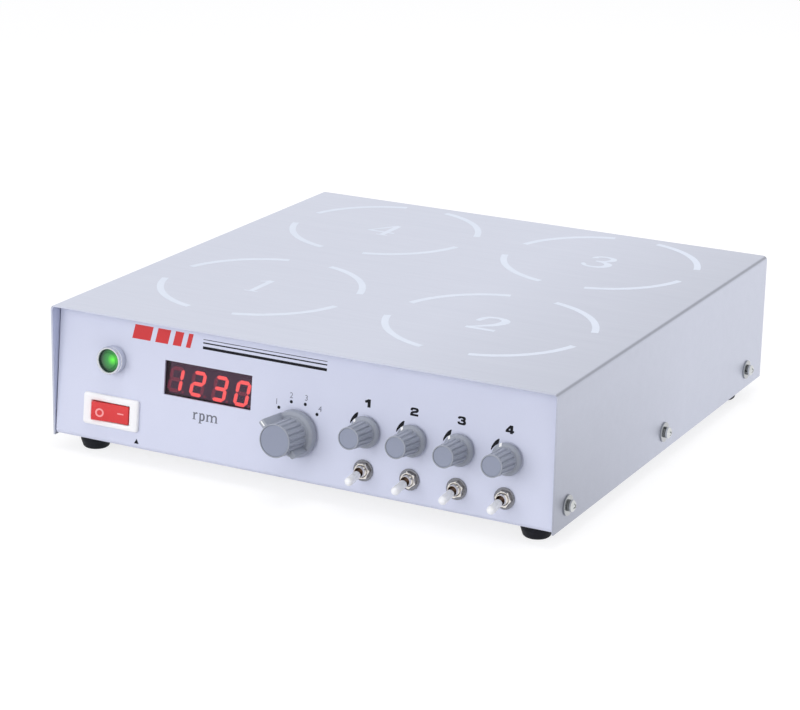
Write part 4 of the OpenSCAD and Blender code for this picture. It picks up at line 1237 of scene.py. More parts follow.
@dataclass
class TopPrint:
    """Rings and numerals printed on the top plate, one set over each drive."""

    tools: Tools
    radius: float = 56.1
    width: float = 3.9
    gap: float = 28.0
    numeral_h: float = 24.0
    numeral_w: float = 31.0
    numeral_mid: float = 0.3
    spread: float = 0.5
    row_shift: Point = (-1.1, 0.2)

    def build(self) -> None:
        """Builds the rings and the numerals."""
        faces = self.tools.faces
        centres = []
        for i in range(1, 5):
            middle = sum(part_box(f"rotor_{i}"), Vector()) / 2 / MM
            shift = math.copysign(self.spread, middle.x) + self.row_shift[middle.y > 0]
            centres.append((middle.x + shift, middle.y))
        level = -Housing.print_room
        places = [faces.top.at(x, y, level + INK_T / 2, 90 * k) for x, y in centres for k in range(4)]
        mesh = self.tools.arcs.run("place_rings", places, TOP_INK, {
            "Radius": self.radius, "Width": self.width, "Thickness": INK_T,
            "Start": math.radians(self.gap / 2), "Sweep": math.radians(90 - self.gap)})
        settle("place_rings", mesh, "housing")
        numerals = Shape()
        for (x, y), strokes in zip(centres, NUMERALS.values()):
            figure = written(strokes, self.numeral_w, self.numeral_h, self.numeral_mid)
            numerals.join(figure.move(x, y))
        numerals.piece("place_numerals", faces.top.at(0, 0, level), TOP_INK, Slot.COVER)


@dataclass
class PilotLamp:
    """The green lamp at the panel's left end."""

    tools: Tools
    bezel_r: float = 7.65
    barrel_r: float = 5.9
    barrel_t: float = 1.4
    barrel: float = 18.0
    stand: float = 6.4
    lens_r: float = 6.2
    cup: float = 4.0

    def build(self) -> None:
        """Builds the bezel and the lens, and dresses the nut."""
        x, v = self.tools.faces.centre_on_front("lamp_lens")
        place = self.tools.faces.front.at(x, v)
        r, out, seat = self.bezel_r, self.stand, self.stand - self.cup
        back, inner = -self.barrel, self.barrel_r - self.barrel_t
        profile = soften([(0, back, 0), (self.barrel_r, back, 0.5), (self.barrel_r, SEAT, 0.1),
                          (r, SEAT, 0.15), (r, out - 2.2, 0.15), (r - 0.3, out - 1.9, 0.15),
                          (r - 0.3, out - 1.6, 0.1), (r - 0.05, out - 1.4, 0.2), (r - 0.35, out, 0.5),
                          (self.lens_r + 0.35, out, 0.3), (self.lens_r, out - 0.6, 0.2),
                          (self.lens_r, seat, 0.1), (inner, seat, 0.1), (inner, back + 1, 0.1),
                          (0, back + 1, 0)])
        Shape().lathe(profile, 80).piece("lamp_ring", place, LAMP_METAL, Slot.LAMP_METAL, "housing",
                                         ["lamp_bezel"])
        edge = self.lens_r - SEAT
        top = out - 0.4
        profile = soften([(0, seat + SEAT, 0), (edge, seat + SEAT, 0.1), (edge, top - 1.5, 0.2),
                          (4.7, top - 0.75, 0.1), (4.5, top - 0.85, 0.05), (4.3, top - 0.45, 0.2),
                          (2.4, top - 0.12, 0.6), (0, top, 0)])
        Shape().lathe(profile, 72).piece("lamp_green_dome", place, GREEN_LENS, Slot.LAMP_GREEN, "housing",
                                         ["lamp_lens"], uv_radius=edge)
        dress_nodes(["lamp_nut"], NICKEL)


@dataclass
class PowerSwitch:
    """The rocker switch: a white frame, a red rocker with its two signs, and the terminals."""

    tools: Tools
    frame_size: Point = (35.0, 17.6)
    corner: float = 1.6
    stand: float = 2.0
    rocker: Point = (23.6, 9.9)
    drop: float = 0.35
    gap: float = 0.35
    body: Point = (28.6, 13.2)
    body_depth: float = 20.0
    room: float = -7.0
    pivot: float = -1.0
    tilt: float = 8.0
    face: float = 3.4
    rise: float = 1.2
    pin_r: float = 1.2
    sign_x: float = 6.2
    sign_gap: float = 0.005
    # Outer and inner radius of the ring, and half length and half width of the bar
    ring_sign: Point = (2.4, 1.5)
    bar_sign: Point = (1.9, 0.35)
    ring_drop: float = 0.9
    outer_rows: int = 8

    def build(self) -> None:
        """Builds the frame, the rocker and its signs, and dresses the terminals."""
        x, v = self.tools.faces.on_front("power_rock")
        place = self.tools.faces.front.at(x, v)
        self.frame(place)
        self.red_rocker(place)
        dress_nodes(["power_terminals"], BRASS)

    def frame(self, place: Matrix) -> None:
        """Builds the white frame and the body behind the panel."""
        w, h = self.frame_size
        bw, bh = self.body
        rw, rh = self.rocker[0] + 2 * self.gap, self.rocker[1] + 2 * self.gap
        top, r = self.stand, self.corner
        rows = [(bw, bh, 0.6, -self.body_depth), (bw, bh, 0.6, SEAT), (w - 0.2, h - 0.2, r, SEAT),
                (w, h, r, 0.2), (w, h, r, top - 0.95), (w - 0.25, h - 0.25, r, top - 0.5),
                (w - 0.9, h - 0.9, r, top - 0.12), (w - 1.7, h - 1.7, r, top),
                (rw + 1.0, rh + 1.0, 0.7, top), (rw + 0.5, rh + 0.5, 0.6, top - 0.1),
                (rw + 0.1, rh + 0.1, 0.5, top - 0.45), (rw, rh, 0.4, top - 0.8), (rw, rh, 0.4, self.room)]
        loops = [round_rect(*row) for row in rows]
        for p in (p for loop in loops[self.outer_rows:] for p in loop):
            p.y -= self.drop
        Shape().loft(loops).piece(
            "power_frame", place, SWITCH_PLASTIC, Slot.SWITCH, "housing", ["power_switch_body"])

    def height(self, x: float, _y: float = 0.0) -> float:
        """Returns the height of the rocker's dished face over its pivot."""
        return self.face + self.rise * (abs(x) * 2 / self.rocker[0]) ** 1.25

    def red_rocker(self, place: Matrix) -> None:
        """Builds the rocker with its pin, and the signs on its face."""
        half = self.rocker[0] / 2
        ends = [math.radians(a) for a in (-14, -7, 0, 7, 14, 20.5)]
        right = [(half * math.cos(a), half * math.sin(a)) for a in ends]
        top = [(x, self.height(x)) for x in (half * 0.93 * (1 - 2 * k / 20) for k in range(21))]
        outline = [*right, *top, *[(-x, z) for x, z in reversed(right)]]
        width = self.rocker[1]
        loops = [[Vector((x, y - self.drop, z)) for x, z in outline] for y in (-width / 2, width / 2)]
        rocker = Shape().loft(loops).bevel(0.3, 40)
        wall = (self.body[1] - width) / 2 - self.gap
        reach = width / 2 + self.gap + wall / 2
        pin = Shape().lathe([(0, -reach), (self.pin_r, -reach), (self.pin_r, reach), (0, reach)], 24)
        pin.bm.transform(Matrix.Rotation(math.pi / 2, 4, "X"))
        rocker.join(pin).tilt(self.tilt, "Y", self.pivot).piece(
            "power_rocker_red", place, ROCKER_PLASTIC, Slot.ROCKER, "power_rocker", ["power_rocker"])
        low, steps = self.sign_gap, 10
        ring = ring_shape(*self.ring_sign, low, INK_T, 0.0, 40).move(-self.sign_x, -self.ring_drop)
        reach, half = self.bar_sign
        section = ((-half, low), (half, low), (half, INK_T), (-half, INK_T))
        bar = Shape().loft([[Vector((self.sign_x - reach + 2 * reach * k / steps, y, z)) for y, z in section]
                            for k in range(steps + 1)])
        ring.join(bar).drape(self.height).tilt(self.tilt, "Y", self.pivot).piece(
            "power_signs", place, SIGN_INK, Slot.SWITCH, "power_rocker")


@dataclass
class Display:
    """Four seven-segment digits behind a tinted window."""

    tools: Tools
    level: float = -3.05
    digit_h: float = 14.2
    digit_w: float = 8.7
    pitch: float = 13.7
    bar: float = 2.0
    gap: float = 0.06
    # Height of a segment's underside and of its top over the module
    segment: Point = (0.01, 0.06)
    point_r: float = 0.8
    point_out: float = 1.3
    slant: float = 9.0
    shift: float = -0.9
    drop: float = -1.45
    turn: float = -1.5
    reading: str = "1230"

    SEGMENTS = {"0": "abcdef", "1": "bc", "2": "abged", "3": "abgcd"}

    def build(self) -> None:
        """Builds the segments and dresses the window, the module and the board."""
        x, v = self.tools.faces.centre_on_front("display_module")
        place = self.tools.faces.front.at(x + self.shift, v + self.drop, self.level, self.turn)
        lit, dark = Shape(), Shape()
        for k, figure in enumerate(self.reading):
            for name, outline in self.outlines((k - 1.5) * self.pitch).items():
                (lit if name in self.SEGMENTS[figure] else dark).slab(outline, *self.segment)
        lit.piece("digits_lit", place, LIT, Slot.DISPLAY)
        dark.piece("digits_dark", place, UNLIT, Slot.DISPLAY)
        dress_nodes(["display_window"], WINDOW)
        dress_nodes(["display_module"], MODULE)
        dress_nodes(["display_board"], BOARD)
        dress_nodes(["display_spacers"], BRASS)

    def outlines(self, centre: float) -> dict[str, list[Point]]:
        """Gives the outline of each segment of one digit.

        Args:
            centre: Where the digit's middle lies across the module.

        Returns:
            The leaning outline of each segment by its letter, and of the point as p.
        """
        w, h, t, gap = self.digit_w / 2, self.digit_h / 2, self.bar / 2, self.gap
        wide, tall = 2 * w - 2 * t, h - t
        lie = [(gap, 0), (t + gap, t), (wide - t - gap, t), (wide - gap, 0), (wide - t - gap, -t),
               (t + gap, -t)]
        stand = [(0, gap), (t, t + gap), (t, tall - t - gap), (0, tall - gap), (-t, tall - t - gap),
                 (-t, t + gap)]
        flat = {"a": (lie, -w + t, h - t), "g": (lie, -w + t, 0), "d": (lie, -w + t, t - h),
                "f": (stand, -w + t, 0), "b": (stand, w - t, 0),
                "e": (stand, -w + t, t - h), "c": (stand, w - t, t - h)}
        lean = math.tan(math.radians(self.slant))
        out = {name: [(centre + x + dx + lean * (y + dy), y + dy) for x, y in shape]
               for name, (shape, dx, dy) in flat.items()}
        middle = Vector((centre + w + self.point_out, t - h, 0))
        spot = [middle + polar(self.point_r, math.radians(30 * k), 0) for k in range(12)]
        return {**out, "p": [(p.x + lean * p.y, p.y) for p in spot]}


def flutes(count: int, depth: float) -> Callable[[float], float]:
    """Gives the depth of a grip's round-bottomed flutes at an angle.

    Args:
        count: Number of flutes.
        depth: Depth of a flute.

    Returns:
        A function from the angle to the depth there.
    """
    land, roundness = 0.25, 0.6

    def depth_at(angle: float) -> float:
        """Returns the depth at an angle: none on a land, and the whole depth in the middle of a flute."""
        wave = math.cos(count * (angle - math.pi / 2) + math.pi)
        return depth * max(0.0, (wave - land) / (1 - land)) ** roundness
    return depth_at


@dataclass
class Knob:
    """A skirted, fluted knob with a spun cap in its face."""

    skirt_r: float
    grip_r: float
    top: float
    skirt_h: float
    skirt_rim: float
    skirt_in: Point
    hollow_r: float
    roof: float
    flute_count: int
    flute_depth: float
    lift: float = 0.8
    cap_rim: float = 0.6
    cap_t: float = 1.0
    cap_sink: float = 0.25
    cap_dish: float = 0.2
    collar: float = 0.8
    taper: float = 0.25
    undercut: float = 0.8

    def body(self) -> Shape:
        """Draws the knob's body without its cap, and returns it."""
        shoulder, end = self.lift + self.skirt_h, self.top - self.collar
        tip = self.grip_r - self.taper
        inner = tip - self.cap_rim
        bed = self.top - self.cap_t - self.cap_sink - SEAT
        skirt = soften([(0, self.roof, 0), (self.hollow_r, self.roof, 0.3), (self.hollow_r, self.lift, 0.2),
                        (self.skirt_r - self.undercut, self.lift, 0.2),
                        (self.skirt_r, self.lift + self.skirt_rim, 0.4),
                        (self.skirt_r - self.skirt_in[0], shoulder - 0.9, 0.5),
                        (self.skirt_r - self.skirt_in[1], shoulder, 0.5), (self.grip_r, shoulder, 0.35),
                        (self.grip_r, shoulder + 1.2, 0)], 4)
        grip = [(self.grip_r, shoulder + 0.7 + 0.8 * k / 4, math.sin(math.pi / 2 * k / 4)) for k in range(5)]
        grip += [(tip, end - 0.45, 1.0), (tip, end - 0.2, 0.8), (tip, end, 0.0)]
        rim = soften([(tip, end + 0.05, 0), (tip, self.top, 0.2), (inner, self.top, 0.12),
                      (inner, bed, 0), (0, bed, 0)], 3)
        rows = [(r, z, 0.0) for r, z in skirt[:-1]] + grip + [(r, z, 0.0) for r, z in rim]
        return Shape().lathe(rows, self.flute_count * 16, flute=flutes(self.flute_count, self.flute_depth))

    def cap(self) -> Shape:
        """Draws the cap, dished like a spun disc, and returns it."""
        r = self.grip_r - self.taper - self.cap_rim - SEAT
        face = self.top - self.cap_sink
        rows = soften([(0, face - self.cap_t, 0), (r, face - self.cap_t, 0.1), (r, face, 0.35),
                       (r - 0.5, face, 0.15), (0, face - self.cap_dish, 0)], 3)
        return Shape().lathe(rows, 72)


@dataclass
class Selector:
    """The place selector: a knob with a pointer fin, and its dotted scale."""

    tools: Tools
    knob: Knob
    rest: float = 135.0
    fin_w: float = 3.6
    fin: Point = (13.0, 22.2)
    tail: Point = (12.2, 17.0)
    mark_half: float = 0.4
    dot_r: float = 0.9
    dot_ring: float = 16.1
    dot_shift: Point = (0.1, 0.45)
    stops: tuple[float, ...] = (135.0, 105.0, 75.0, 45.0)
    numeral_h: float = 3.0
    numeral_at: tuple[Point, ...] = ((-12.8, 14.9), (-4.2, 19.5), (4.7, 19.5), (13.1, 15.0))

    def build(self) -> None:
        """Builds the knob, its pointer mark and the scale, and dresses what lies behind."""
        faces = self.tools.faces
        x, v = faces.on_front("selector_turn")
        place = faces.front.at(x, v, 0, self.rest - 90)
        knob, (reach, top) = self.knob, self.fin
        body = knob.body()
        for size, turn in ((self.fin, 0), (self.tail, 180)):
            body = body.carve(self.fin_shape(*size).move(turn=turn), Carve.UNITE)
        body.piece("selector_grip", place, KNOB_PLASTIC, Slot.KNOB, "selector", ["selector_knob"])
        knob.cap().piece("selector_disc", place, CAP_METAL, Slot.CAP, "selector", ["selector_cap"],
                         uv_radius=knob.grip_r)
        half, low = self.mark_half, 2 * PRINT_GAP
        near, far = knob.grip_r + 0.4, reach - 0.5
        mark = Shape().slab([(-half, near), (half, near), (half, far), (-half, far)], top + low, top + INK_T)
        section = ((-half, low), (half, low), (half, INK_T), (-half, INK_T))
        end = Shape().loft([[Vector((px, reach + n, z)) for px, n in section]
                            for z in (knob.lift + knob.skirt_h + 1.2, top - 0.6)])
        mark.join(end).piece("selector_pointer", place, WHITE_INK, Slot.KNOB, "selector")
        self.scale(x, v)
        dress_nodes(["selector_shaft"], STEEL_SHAFT)
        dress_nodes(["selector_switch"], PHENOLIC)
        dress_nodes(["selector_nut"], NICKEL)

    def fin_shape(self, reach: float, top: float) -> Shape:
        """Draws a fin that stands out from the grip.

        Args:
            reach: How far it reaches from the axis.
            top: Height of its top.

        Returns:
            The shape, along the Y axis.
        """
        knob, w = self.knob, self.fin_w
        start, low = knob.grip_r - 3, knob.lift + knob.skirt_h - 2
        rows = ((0.3, 0.0, low), (0.0, 0.0, top - 0.6), (-0.25, -0.25, top - 0.18), (-0.8, -0.8, top))
        fin = Shape().loft([round_rect(w + dw, reach - start + dl, 0.6, z) for dw, dl, z in rows])
        core = knob.grip_r - knob.taper - 0.75
        inside = Shape().lathe([(0, low - 1), (core, low - 1), (core, knob.top + 1), (0, knob.top + 1)], 64)
        return fin.move(y=(start + reach) / 2).carve(inside, Carve.CUT)

    def scale(self, x: float, v: float) -> None:
        """Prints the dots and the numerals round the knob."""
        front = self.tools.faces.front
        dot = Shape().lathe([(0, 0), (self.dot_r, 0), (self.dot_r, INK_T), (0, INK_T)], 32)
        across, up = x + self.dot_shift[0], v + self.dot_shift[1]
        spots = [front.at(across + self.dot_ring * math.cos(a), up + self.dot_ring * math.sin(a), PRINT_GAP)
                 for a in map(math.radians, self.stops)]
        self.tools.copies.pieces("selector_dots", dot, spots, BLACK_INK, Slot.PANEL)
        numerals = Shape()
        for k, (dx, dv) in enumerate(self.numeral_at):
            numerals.join(lettering(str(k + 1), self.numeral_h).move(dx, dv))
        numerals.piece("selector_numerals", front.at(x, v, PRINT_GAP), PALE_INK, Slot.PANEL)


@dataclass
class SpeedControls:
    """A speed knob for each place, with its numeral and its wedge."""

    tools: Tools
    knob: Knob
    rest: tuple[float, ...] = (135.0, 129.0, 129.0, 114.0)
    numeral: Point = (4.6, 4.3)
    numeral_up: float = 15.0
    mark_half: float = 0.75
    mark_t: float = 0.03
    # Radius and angle of points on the outer and on the inner edge of a wedge
    wedge_out: tuple[Point, ...] = ((9.95, 163.5), (10.33, 157.5), (10.55, 146.4), (10.75, 138.0),
                                    (10.9, 130.0), (11.0, 123.4), (10.75, 118.6))
    wedge_in: tuple[Point, ...] = ((8.85, 128.6), (8.85, 135.9), (9.15, 142.3), (9.3, 148.8), (9.45, 155.1),
                                   (9.75, 162.0))

    def build(self) -> None:
        """Builds the knobs and the print, and dresses the controls behind the panel."""
        faces = self.tools.faces
        numerals, wedges = Shape(), Shape()
        for i, rest in enumerate(self.rest, 1):
            x, v = faces.on_front(f"speed_turn_{i}")
            place = faces.front.at(x, v, 0, rest - 90)
            self.one(i, place)
            numerals.join(written(BLOCK_NUMERALS[str(i)], *self.numeral, 0.5).move(x, v + self.numeral_up))
            wedges.join(self.wedge_shape().move(x, v))
        numerals.piece("speed_numerals", faces.front.at(0, 0, PRINT_GAP), BLACK_INK, Slot.PANEL)
        wedges.piece("speed_wedges", faces.front.at(0, 0, PRINT_GAP), BLACK_INK, Slot.PANEL)
        dress_nodes([f"speed_shaft_{i}" for i in range(1, 5)], STEEL_SHAFT)
        dress_nodes(["potentiometers"], CONTROL_CAN)
        dress_nodes(["potentiometer_nuts"], NICKEL)

    def one(self, i: int, place: Matrix) -> None:
        """Builds one knob with its cap and the mark on its skirt."""
        knob, body = self.knob, f"speed_{i}"
        knob.body().piece(f"speed_grip_{i}", place, KNOB_PLASTIC, Slot.KNOB, body, [f"speed_knob_{i}"])
        knob.cap().piece(f"speed_disc_{i}", place, CAP_METAL, Slot.CAP, body, [f"speed_cap_{i}"],
                         uv_radius=knob.grip_r)
        shoulder = knob.lift + knob.skirt_h
        slope = [(knob.skirt_r - knob.skirt_in[1] + 0.05, shoulder),
                 (knob.skirt_r - knob.skirt_in[0] + 0.02, shoulder - 0.86),
                 (knob.skirt_r, knob.lift + knob.skirt_rim + 0.1)]
        half, t = self.mark_half, self.mark_t
        section = ((-half, 0.0), (half, 0.0), (half, t), (-half, t))
        loops = [[Vector((px, y + n, z + n)) for px, n in section] for y, z in slope]
        Shape().loft(loops).piece(f"speed_mark_{i}", place, WHITE_INK, Slot.KNOB, body)

    def wedge_shape(self) -> Shape:
        """Draws the wedge that widens towards more speed, and returns it."""
        edge = [p for side in (self.wedge_out, self.wedge_in) for p in smooth_path([(*q, 0.0) for q in side])]
        outline = [tuple(polar(r, math.radians(a), 0).xy) for r, a, _ in edge]
        return Shape().slab(outline, 0, INK_T)


@dataclass
class PlaceSwitches:
    """A toggle switch for each place: lever, threaded bush, nut and washer."""

    tools: Tools
    tilt: float = 12.8
    pivot: float = 3.0
    bush_r: float = 3.0
    bush: float = 5.5
    bore_r: float = 2.3
    washer: Point = (5.7, 0.6)
    nut: Point = (4.62, 2.2)
    nut_turns: tuple[float, ...] = (8, 41, 22, 55)
    length: float = 14.9
    neck_r: float = 1.3
    neck: float = 3.5
    low_r: float = 2.1
    tip_r: float = 2.3
    body: Corner = (8.0, 13.0, 10.0)
    sheet: float = 1.2
    pitch: float = 0.75
    groove: float = 0.28
    lug: Corner = (1.6, 0.8, 3.95)
    lug_at: tuple[float, ...] = (-4.6, 0.0, 4.6)

    def build(self) -> None:
        """Builds the levers, switches, nuts and washers."""
        faces, copies = self.tools.faces, self.tools.copies
        spots = [faces.on_front(f"toggle_flip_{i}") for i in range(1, 5)]
        for i, (x, v) in enumerate(spots, 1):
            place = faces.front.at(x, v)
            self.lever().piece(f"lever_{i}", place, NYLON, Slot.LEVER, f"toggle_{i}", [f"toggle_lever_{i}"])
            self.pin().piece(f"lever_pin_{i}", place, BRONZE, Slot.NUT, f"toggle_{i}")
        places = [faces.front.at(x, v) for x, v in spots]
        turned = [faces.front.at(x, v, 0, a) for (x, v), a in zip(spots, self.nut_turns)]
        hole = self.bush_r + 0.1
        low = self.washer[1] + 2 * SEAT
        copies.pieces("place_washers", ring_shape(self.washer[0], hole, SEAT, SEAT + self.washer[1], 0.15),
                      places, DARK_WASHER, Slot.FASTENER, ["toggle_washers"])
        copies.pieces("place_nuts", nut_shape(self.nut[0], hole, low, low + self.nut[1]), turned, NICKEL,
                      Slot.NUT, ["toggle_nuts"])
        copies.pieces("place_switches", self.switch(), places, NICKEL, Slot.NUT, ["toggle_switches"])

    def lever(self) -> Shape:
        """Draws a lever's sleeve, tipped to its rest, and returns it."""
        tip, middle = self.tip_r, self.length - self.tip_r
        rows = soften([(0, self.neck, 0), (self.low_r - 0.5, self.neck, 0.1),
                       (self.low_r, self.neck + 0.6, 0.4), (tip, middle - 0.6, 0.4), (tip, middle, 0)], 4)
        rows += [(tip * math.cos(a), middle + tip * math.sin(a)) for a in
                 (math.radians(9 * k) for k in range(1, 11))]
        return Shape().lathe(rows, 40).tilt(self.tilt, "X", self.pivot)

    def pin(self) -> Shape:
        """Draws the ball and neck under a lever's sleeve, tipped to its rest, and returns them."""
        ball = self.bore_r - 0.05
        rows = [(ball * math.cos(a), ball * math.sin(a)) for a in
                (math.radians(-90 + 10 * k) for k in range(15))]
        rows += [(self.neck_r, 2.2), (self.neck_r, self.neck - SEAT), (0, self.neck - SEAT)]
        return Shape().lathe(rows, 40).tilt(self.tilt, "X", self.pivot)

    def switch(self) -> Shape:
        """Draws the threaded bush, the body behind the panel and its lugs, and returns them."""
        back, r, bore = -self.sheet - SEAT, self.bush_r, self.bore_r
        low, floor = back - 0.4, self.pivot - bore - 0.4
        thread = thread_rows(r, self.groove, self.pitch, back, int((self.bush - back - 0.4) / self.pitch))
        shape = Shape().lathe([(0, low), (r - 0.25, low), *thread, (r - 0.3, self.bush),
                               (bore + 0.25, self.bush), (bore, self.bush - 0.25), (bore, floor),
                               (0, floor)], 48)
        w, h, d = self.body
        shape.join(Shape().loft([round_rect(w, h, 0.4, z, 3) for z in (back - d, back)]).bevel(0.15, 40, 2))
        lug_w, lug_t, lug_len = self.lug
        for y in self.lug_at:
            levels = (back - d - lug_len, back - d + 0.2)
            shape.join(Shape().loft([round_rect(lug_w, lug_t, 0.2, z, 2) for z in levels]).move(y=y))
        return shape


@dataclass
class PanelPrint:
    """Plain accents and the unit label printed on the front panel."""

    tools: Tools
    accent_x: float = -102.3
    accent_v: Point = (61.4, 69.2)
    accent_w: tuple[float, ...] = (11.5, 8.0, 5.2, 2.8)
    accent_gap: float = 3.0
    accent_lean: float = 0.22
    rule_x: Point = (-58.0, 16.8)
    rule_v: float = 62.2
    # Rise over the lowest rule, and thickness, of each rule
    rules: tuple[Point, ...] = ((0.0, 1.5), (3.0, 0.7), (5.0, 0.35))
    unit_at: Point = (-54.5, 25.4)
    unit: Point = (4.7, 3.8)
    unit_mid: float = 1.66
    mark_at: Point = (-96.6, 5.05)
    mark: tuple[Point, ...] = ((-1.5, -1.2), (1.5, -1.2), (0.0, 1.5))

    def build(self) -> None:
        """Prints the accents, the unit label and the small mark."""
        front = self.tools.faces.front
        low, high = self.accent_v
        lean = self.accent_lean * (high - low)
        bars = Shape()
        x = self.accent_x
        for width in self.accent_w:
            bars.slab([(x, low), (x + width, low), (x + width + lean, high), (x + lean, high)], 0, INK_T)
            x += width + self.accent_gap
        bars.piece("accent_bars", front.at(0, 0, PRINT_GAP), RED_INK, Slot.PANEL)
        rules = Shape()
        left, right = self.rule_x
        for rise, t in self.rules:
            v = self.rule_v + rise
            rules.slab([(left, v), (right, v), (right, v + t), (left, v + t)], 0, INK_T)
        x, v = self.mark_at
        rules.slab([(x + dx, v + dv) for dx, dv in self.mark], 0, INK_T)
        rules.piece("accent_rules", front.at(0, 0, PRINT_GAP), BLACK_INK, Slot.PANEL)
        label = written(UNIT, *self.unit, self.unit_mid)
        label.piece("unit_label", front.at(*self.unit_at, PRINT_GAP), GREY_INK, Slot.PANEL)


@dataclass
class RearFittings:
    """The cord gland, and the fuse holder with its cap."""

    tools: Tools
    bore_r: float = 3.7
    barrel_r: float = 6.2
    flange_r: float = 9.0
    flange: float = 3.0
    stand: float = 10.0
    inside: float = 8.0
    ribs: int = 4

    def build(self) -> None:
        """Builds the gland with its flexing ribs, and dresses the fuse holder."""
        r, b = self.barrel_r, self.bore_r
        nose = []
        for k in range(self.ribs):
            t = k / self.ribs
            out = (r + 0.8) * (1 - t) + (b + 1.6) * t
            z = self.flange + 0.2 + (self.stand - self.flange) * t
            nose += [(out, z, 0.15), (out - 0.2, z + 1.0, 0.15), (out - 1.0, z + 1.15, 0.1),
                     (out - 1.05, z + 1.6, 0.1)]
        profile = soften([(b, 0, 0), (b, -self.inside, 0.3), (r, -self.inside, 0.5), (r, SEAT, 0.1),
                          (self.flange_r, SEAT, 0.2), (self.flange_r, self.flange, 0.9),
                          (r + 0.9, self.flange, 0.3), *nose, (b + 1.6, self.stand - 0.4, 0.1),
                          (b + 1.6, self.stand, 0.3), (b, self.stand, 0.4), (b, 0, 0)], 4)
        middle = sum(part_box("cord_gland"), Vector()) / 2
        rear = self.tools.faces.rear
        place = rear.at(-middle.x / MM, (middle.z - rear.foot.z) / MM)
        Shape().lathe(profile[:-1], 64, True).piece("gland_ribbed", place, REAR_PLASTIC, Slot.REAR, "housing",
                                                   ["cord_gland"])
        dress_nodes(["fuse_holder", "fuse_cap"], REAR_PLASTIC)


class Inside:
    """The drives and the electrics inside the housing, which keep their solids."""

    FINISHES: dict[Finish, tuple[str, ...]] = {
        ALUMINIUM: tuple(f"rotor_{i}" for i in range(1, 5)),
        FERRITE: tuple(f"rotor_magnets_{i}" for i in range(1, 5)),
        MOTOR_CAN: ("motors",),
        BRACKET: ("motor_brackets",),
        BOARD: ("speed_sensors", "control_board"),
        CORE_IRON: ("transformer_core",),
        COIL_TAPE: ("transformer_coil",),
    }

    def build(self) -> None:
        """Dresses every piece."""
        for finish, names in self.FINISHES.items():
            dress_nodes(names, finish)


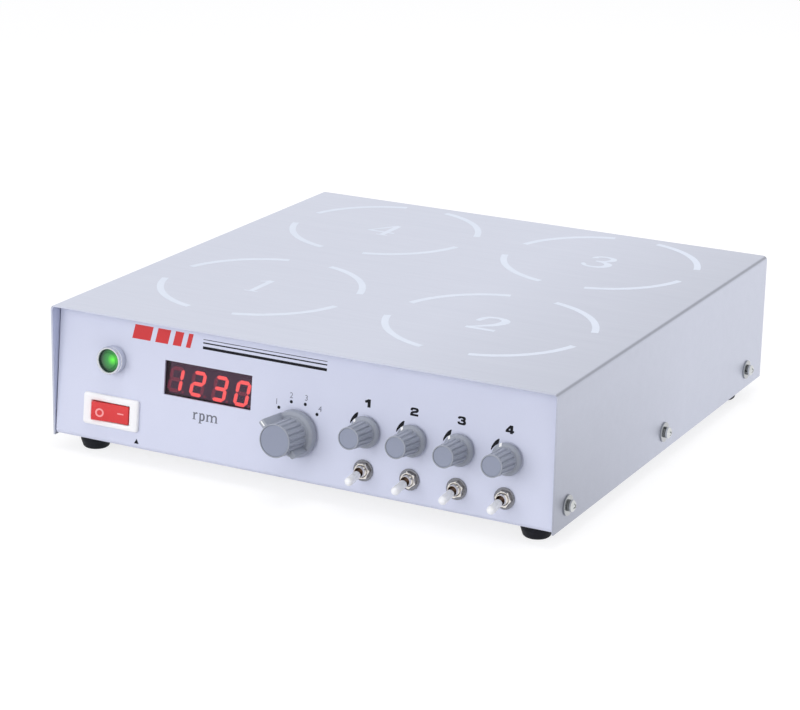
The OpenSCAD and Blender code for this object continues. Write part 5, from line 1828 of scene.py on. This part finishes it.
@dataclass
class Studio:
    """The camera, the floor and a soft, plain light."""

    azimuth: float = 27.1993
    elevation: float = 17.5021
    roll: float = 1.1316
    focal: float = 2544.276
    slide: Point = (-12.373, 27.889)
    distance: float = 1456.372
    ambient: float = 0.55
    floor_tone: tuple[int, int, int] = (230, 230, 232)
    seen_tone: tuple[int, int, int] = (146, 146, 148)
    seen_glow: float = 0.78
    # Side, corner radius and depth of the floor, in millimetres
    floor_size: Corner = (12000.0, 500.0, 20.0)
    aim: Corner = (0.0, 0.0, 0.04)
    # Name, place in metres, size in metres and power in watts of each lamp
    lamps: tuple[tuple[str, Corner, float, float], ...] = (
        ("key", (-0.7, -2.0, 0.6), 1.6, 22.0), ("overhead", (0.2, -0.3, 2.2), 1.2, 15.0),
        ("fill", (0.6, 0.9, 0.5), 0.5, 3.0))

    def build(self, faces: Faces) -> None:
        """Builds the studio round the object."""
        bpy.context.scene.view_settings.view_transform = "Standard"
        self.camera(faces)
        self.world()
        self.floor()
        for row in self.lamps:
            self.lamp(*row)

    def camera(self, faces: Faces) -> None:
        """Places the camera where the photograph was taken from."""
        az, el, roll = map(math.radians, (self.azimuth, self.elevation, self.roll))
        back = Vector((math.sin(az) * math.cos(el), -math.cos(az) * math.cos(el), math.sin(el)))
        level = Vector((0, 0, 1)).cross(back).normalized()
        above = back.cross(level)
        right = math.cos(roll) * level + math.sin(roll) * above
        up = math.cos(roll) * above - math.sin(roll) * level
        middle = (faces.low + faces.high) / 2
        centre = Vector((middle.x, middle.y, faces.low.z))
        data = bpy.data.cameras.new("camera")
        data.sensor_fit, data.sensor_width = "HORIZONTAL", 36.0
        data.lens = self.focal * data.sensor_width / IMAGE_W
        data.clip_start, data.clip_end = 0.05, 50.0
        camera = link_object(bpy.data.objects.new("camera", data))
        axes = Matrix((right, up, back)).transposed().to_4x4()
        eye = centre + MM * (self.slide[0] * right + self.slide[1] * up + self.distance * back)
        camera.matrix_world = Matrix.Translation(eye) @ axes
        bpy.context.scene.camera = camera

    def world(self) -> None:
        """Makes the surroundings white to look at, and a plain level of light elsewhere."""
        world = bpy.data.worlds.new("studio")
        world.use_nodes = True
        bpy.context.scene.world = world
        graph = Graph(world.node_tree)
        seen = self.looked_at(graph)
        strength = graph.spread(seen, self.ambient, 1.0)
        light = graph.add("ShaderNodeBackground", {"Color": (1.0, 1.0, 1.0, 1.0), "Strength": strength})
        graph.add("ShaderNodeOutputWorld", {"Surface": light.outputs[0]})

    def looked_at(self, graph: Graph) -> bpy.types.NodeSocket:
        """Adds a mask of the rays that show a surface to the eye, and returns it."""
        path = graph.add("ShaderNodeLightPath").outputs
        direct = graph.math("MAXIMUM", path["Is Camera Ray"], path["Is Glossy Ray"])
        return graph.math("MAXIMUM", direct, path["Is Transmission Ray"])

    def floor(self) -> None:
        """Lays a pale floor that keeps the object's shadow."""
        side, corner, depth = self.floor_size
        mesh = Shape().loft([round_rect(side, side, corner, z) for z in (-depth, 0.0)]).mesh("floor")
        mesh.transform(Matrix.Scale(MM, 4))
        floor = link_object(bpy.data.objects.new("floor", mesh))
        material = bpy.data.materials.new("floor_paper")
        material.use_nodes = True
        graph = Graph(material.node_tree)
        shader = graph.add("ShaderNodeBsdfDiffuse", {"Color": linear(self.floor_tone)})
        paper = graph.add("ShaderNodeBsdfDiffuse", {"Color": linear(self.seen_tone)})
        glow = graph.add("ShaderNodeEmission", {"Color": (1.0, 1.0, 1.0, 1.0), "Strength": self.seen_glow})
        seen = self.looked_at(graph)
        plain = graph.add("ShaderNodeAddShader", {0: paper.outputs[0], 1: glow.outputs[0]})
        both = graph.add("ShaderNodeMixShader", {0: seen, 1: shader.outputs[0], 2: plain.outputs[0]})
        graph.add("ShaderNodeOutputMaterial", {"Surface": both.outputs[0]})
        mesh.materials.append(material)

    def lamp(self, name: str, where: Corner, size: float, power: float) -> None:
        """Hangs a soft lamp that looks at the object and doesn't show in its shiny surfaces.

        Args:
            name: The lamp's name.
            where: Its place in metres.
            size: Length of its sides in metres.
            power: Its power in watts.
        """
        data = bpy.data.lights.new(name, "AREA")
        data.size, data.energy = size, power
        lamp = link_object(bpy.data.objects.new(name, data))
        lamp.visible_glossy = False
        aim = Vector(self.aim) - Vector(where)
        lamp.matrix_world = Matrix.Translation(where) @ aim.to_track_quat("-Z", "Y").to_matrix().to_4x4()


def main() -> None:
    """Builds the sub-assemblies in order, then the studio."""
    logging.basicConfig(level=logging.INFO, format="%(message)s")
    tools = Tools(Faces(), CopyTool(), ArcTool())
    selector = Knob(skirt_r=12.9, grip_r=9.15, top=23.0, skirt_h=4.8, skirt_rim=1.2, skirt_in=(0.8, 2.4),
                    hollow_r=7.6, roof=6.6, flute_count=18, flute_depth=0.7)
    speed = Knob(skirt_r=8.6, grip_r=6.5, top=19.4, skirt_h=3.0, skirt_rim=1.0, skirt_in=(0.6, 1.6),
                 hollow_r=6.2, roof=2.8, flute_count=14, flute_depth=0.65, taper=0.6)
    for part in (Housing(tools), TopPrint(tools), PilotLamp(tools), PowerSwitch(tools), Display(tools),
                 Selector(tools, selector), SpeedControls(tools, speed), PlaceSwitches(tools),
                 PanelPrint(tools), RearFittings(tools), Inside()):
        LOG.info("building %s", type(part).__name__)
        part.build()
    Studio().build(tools.faces)


if __name__ == "__main__":
    main()
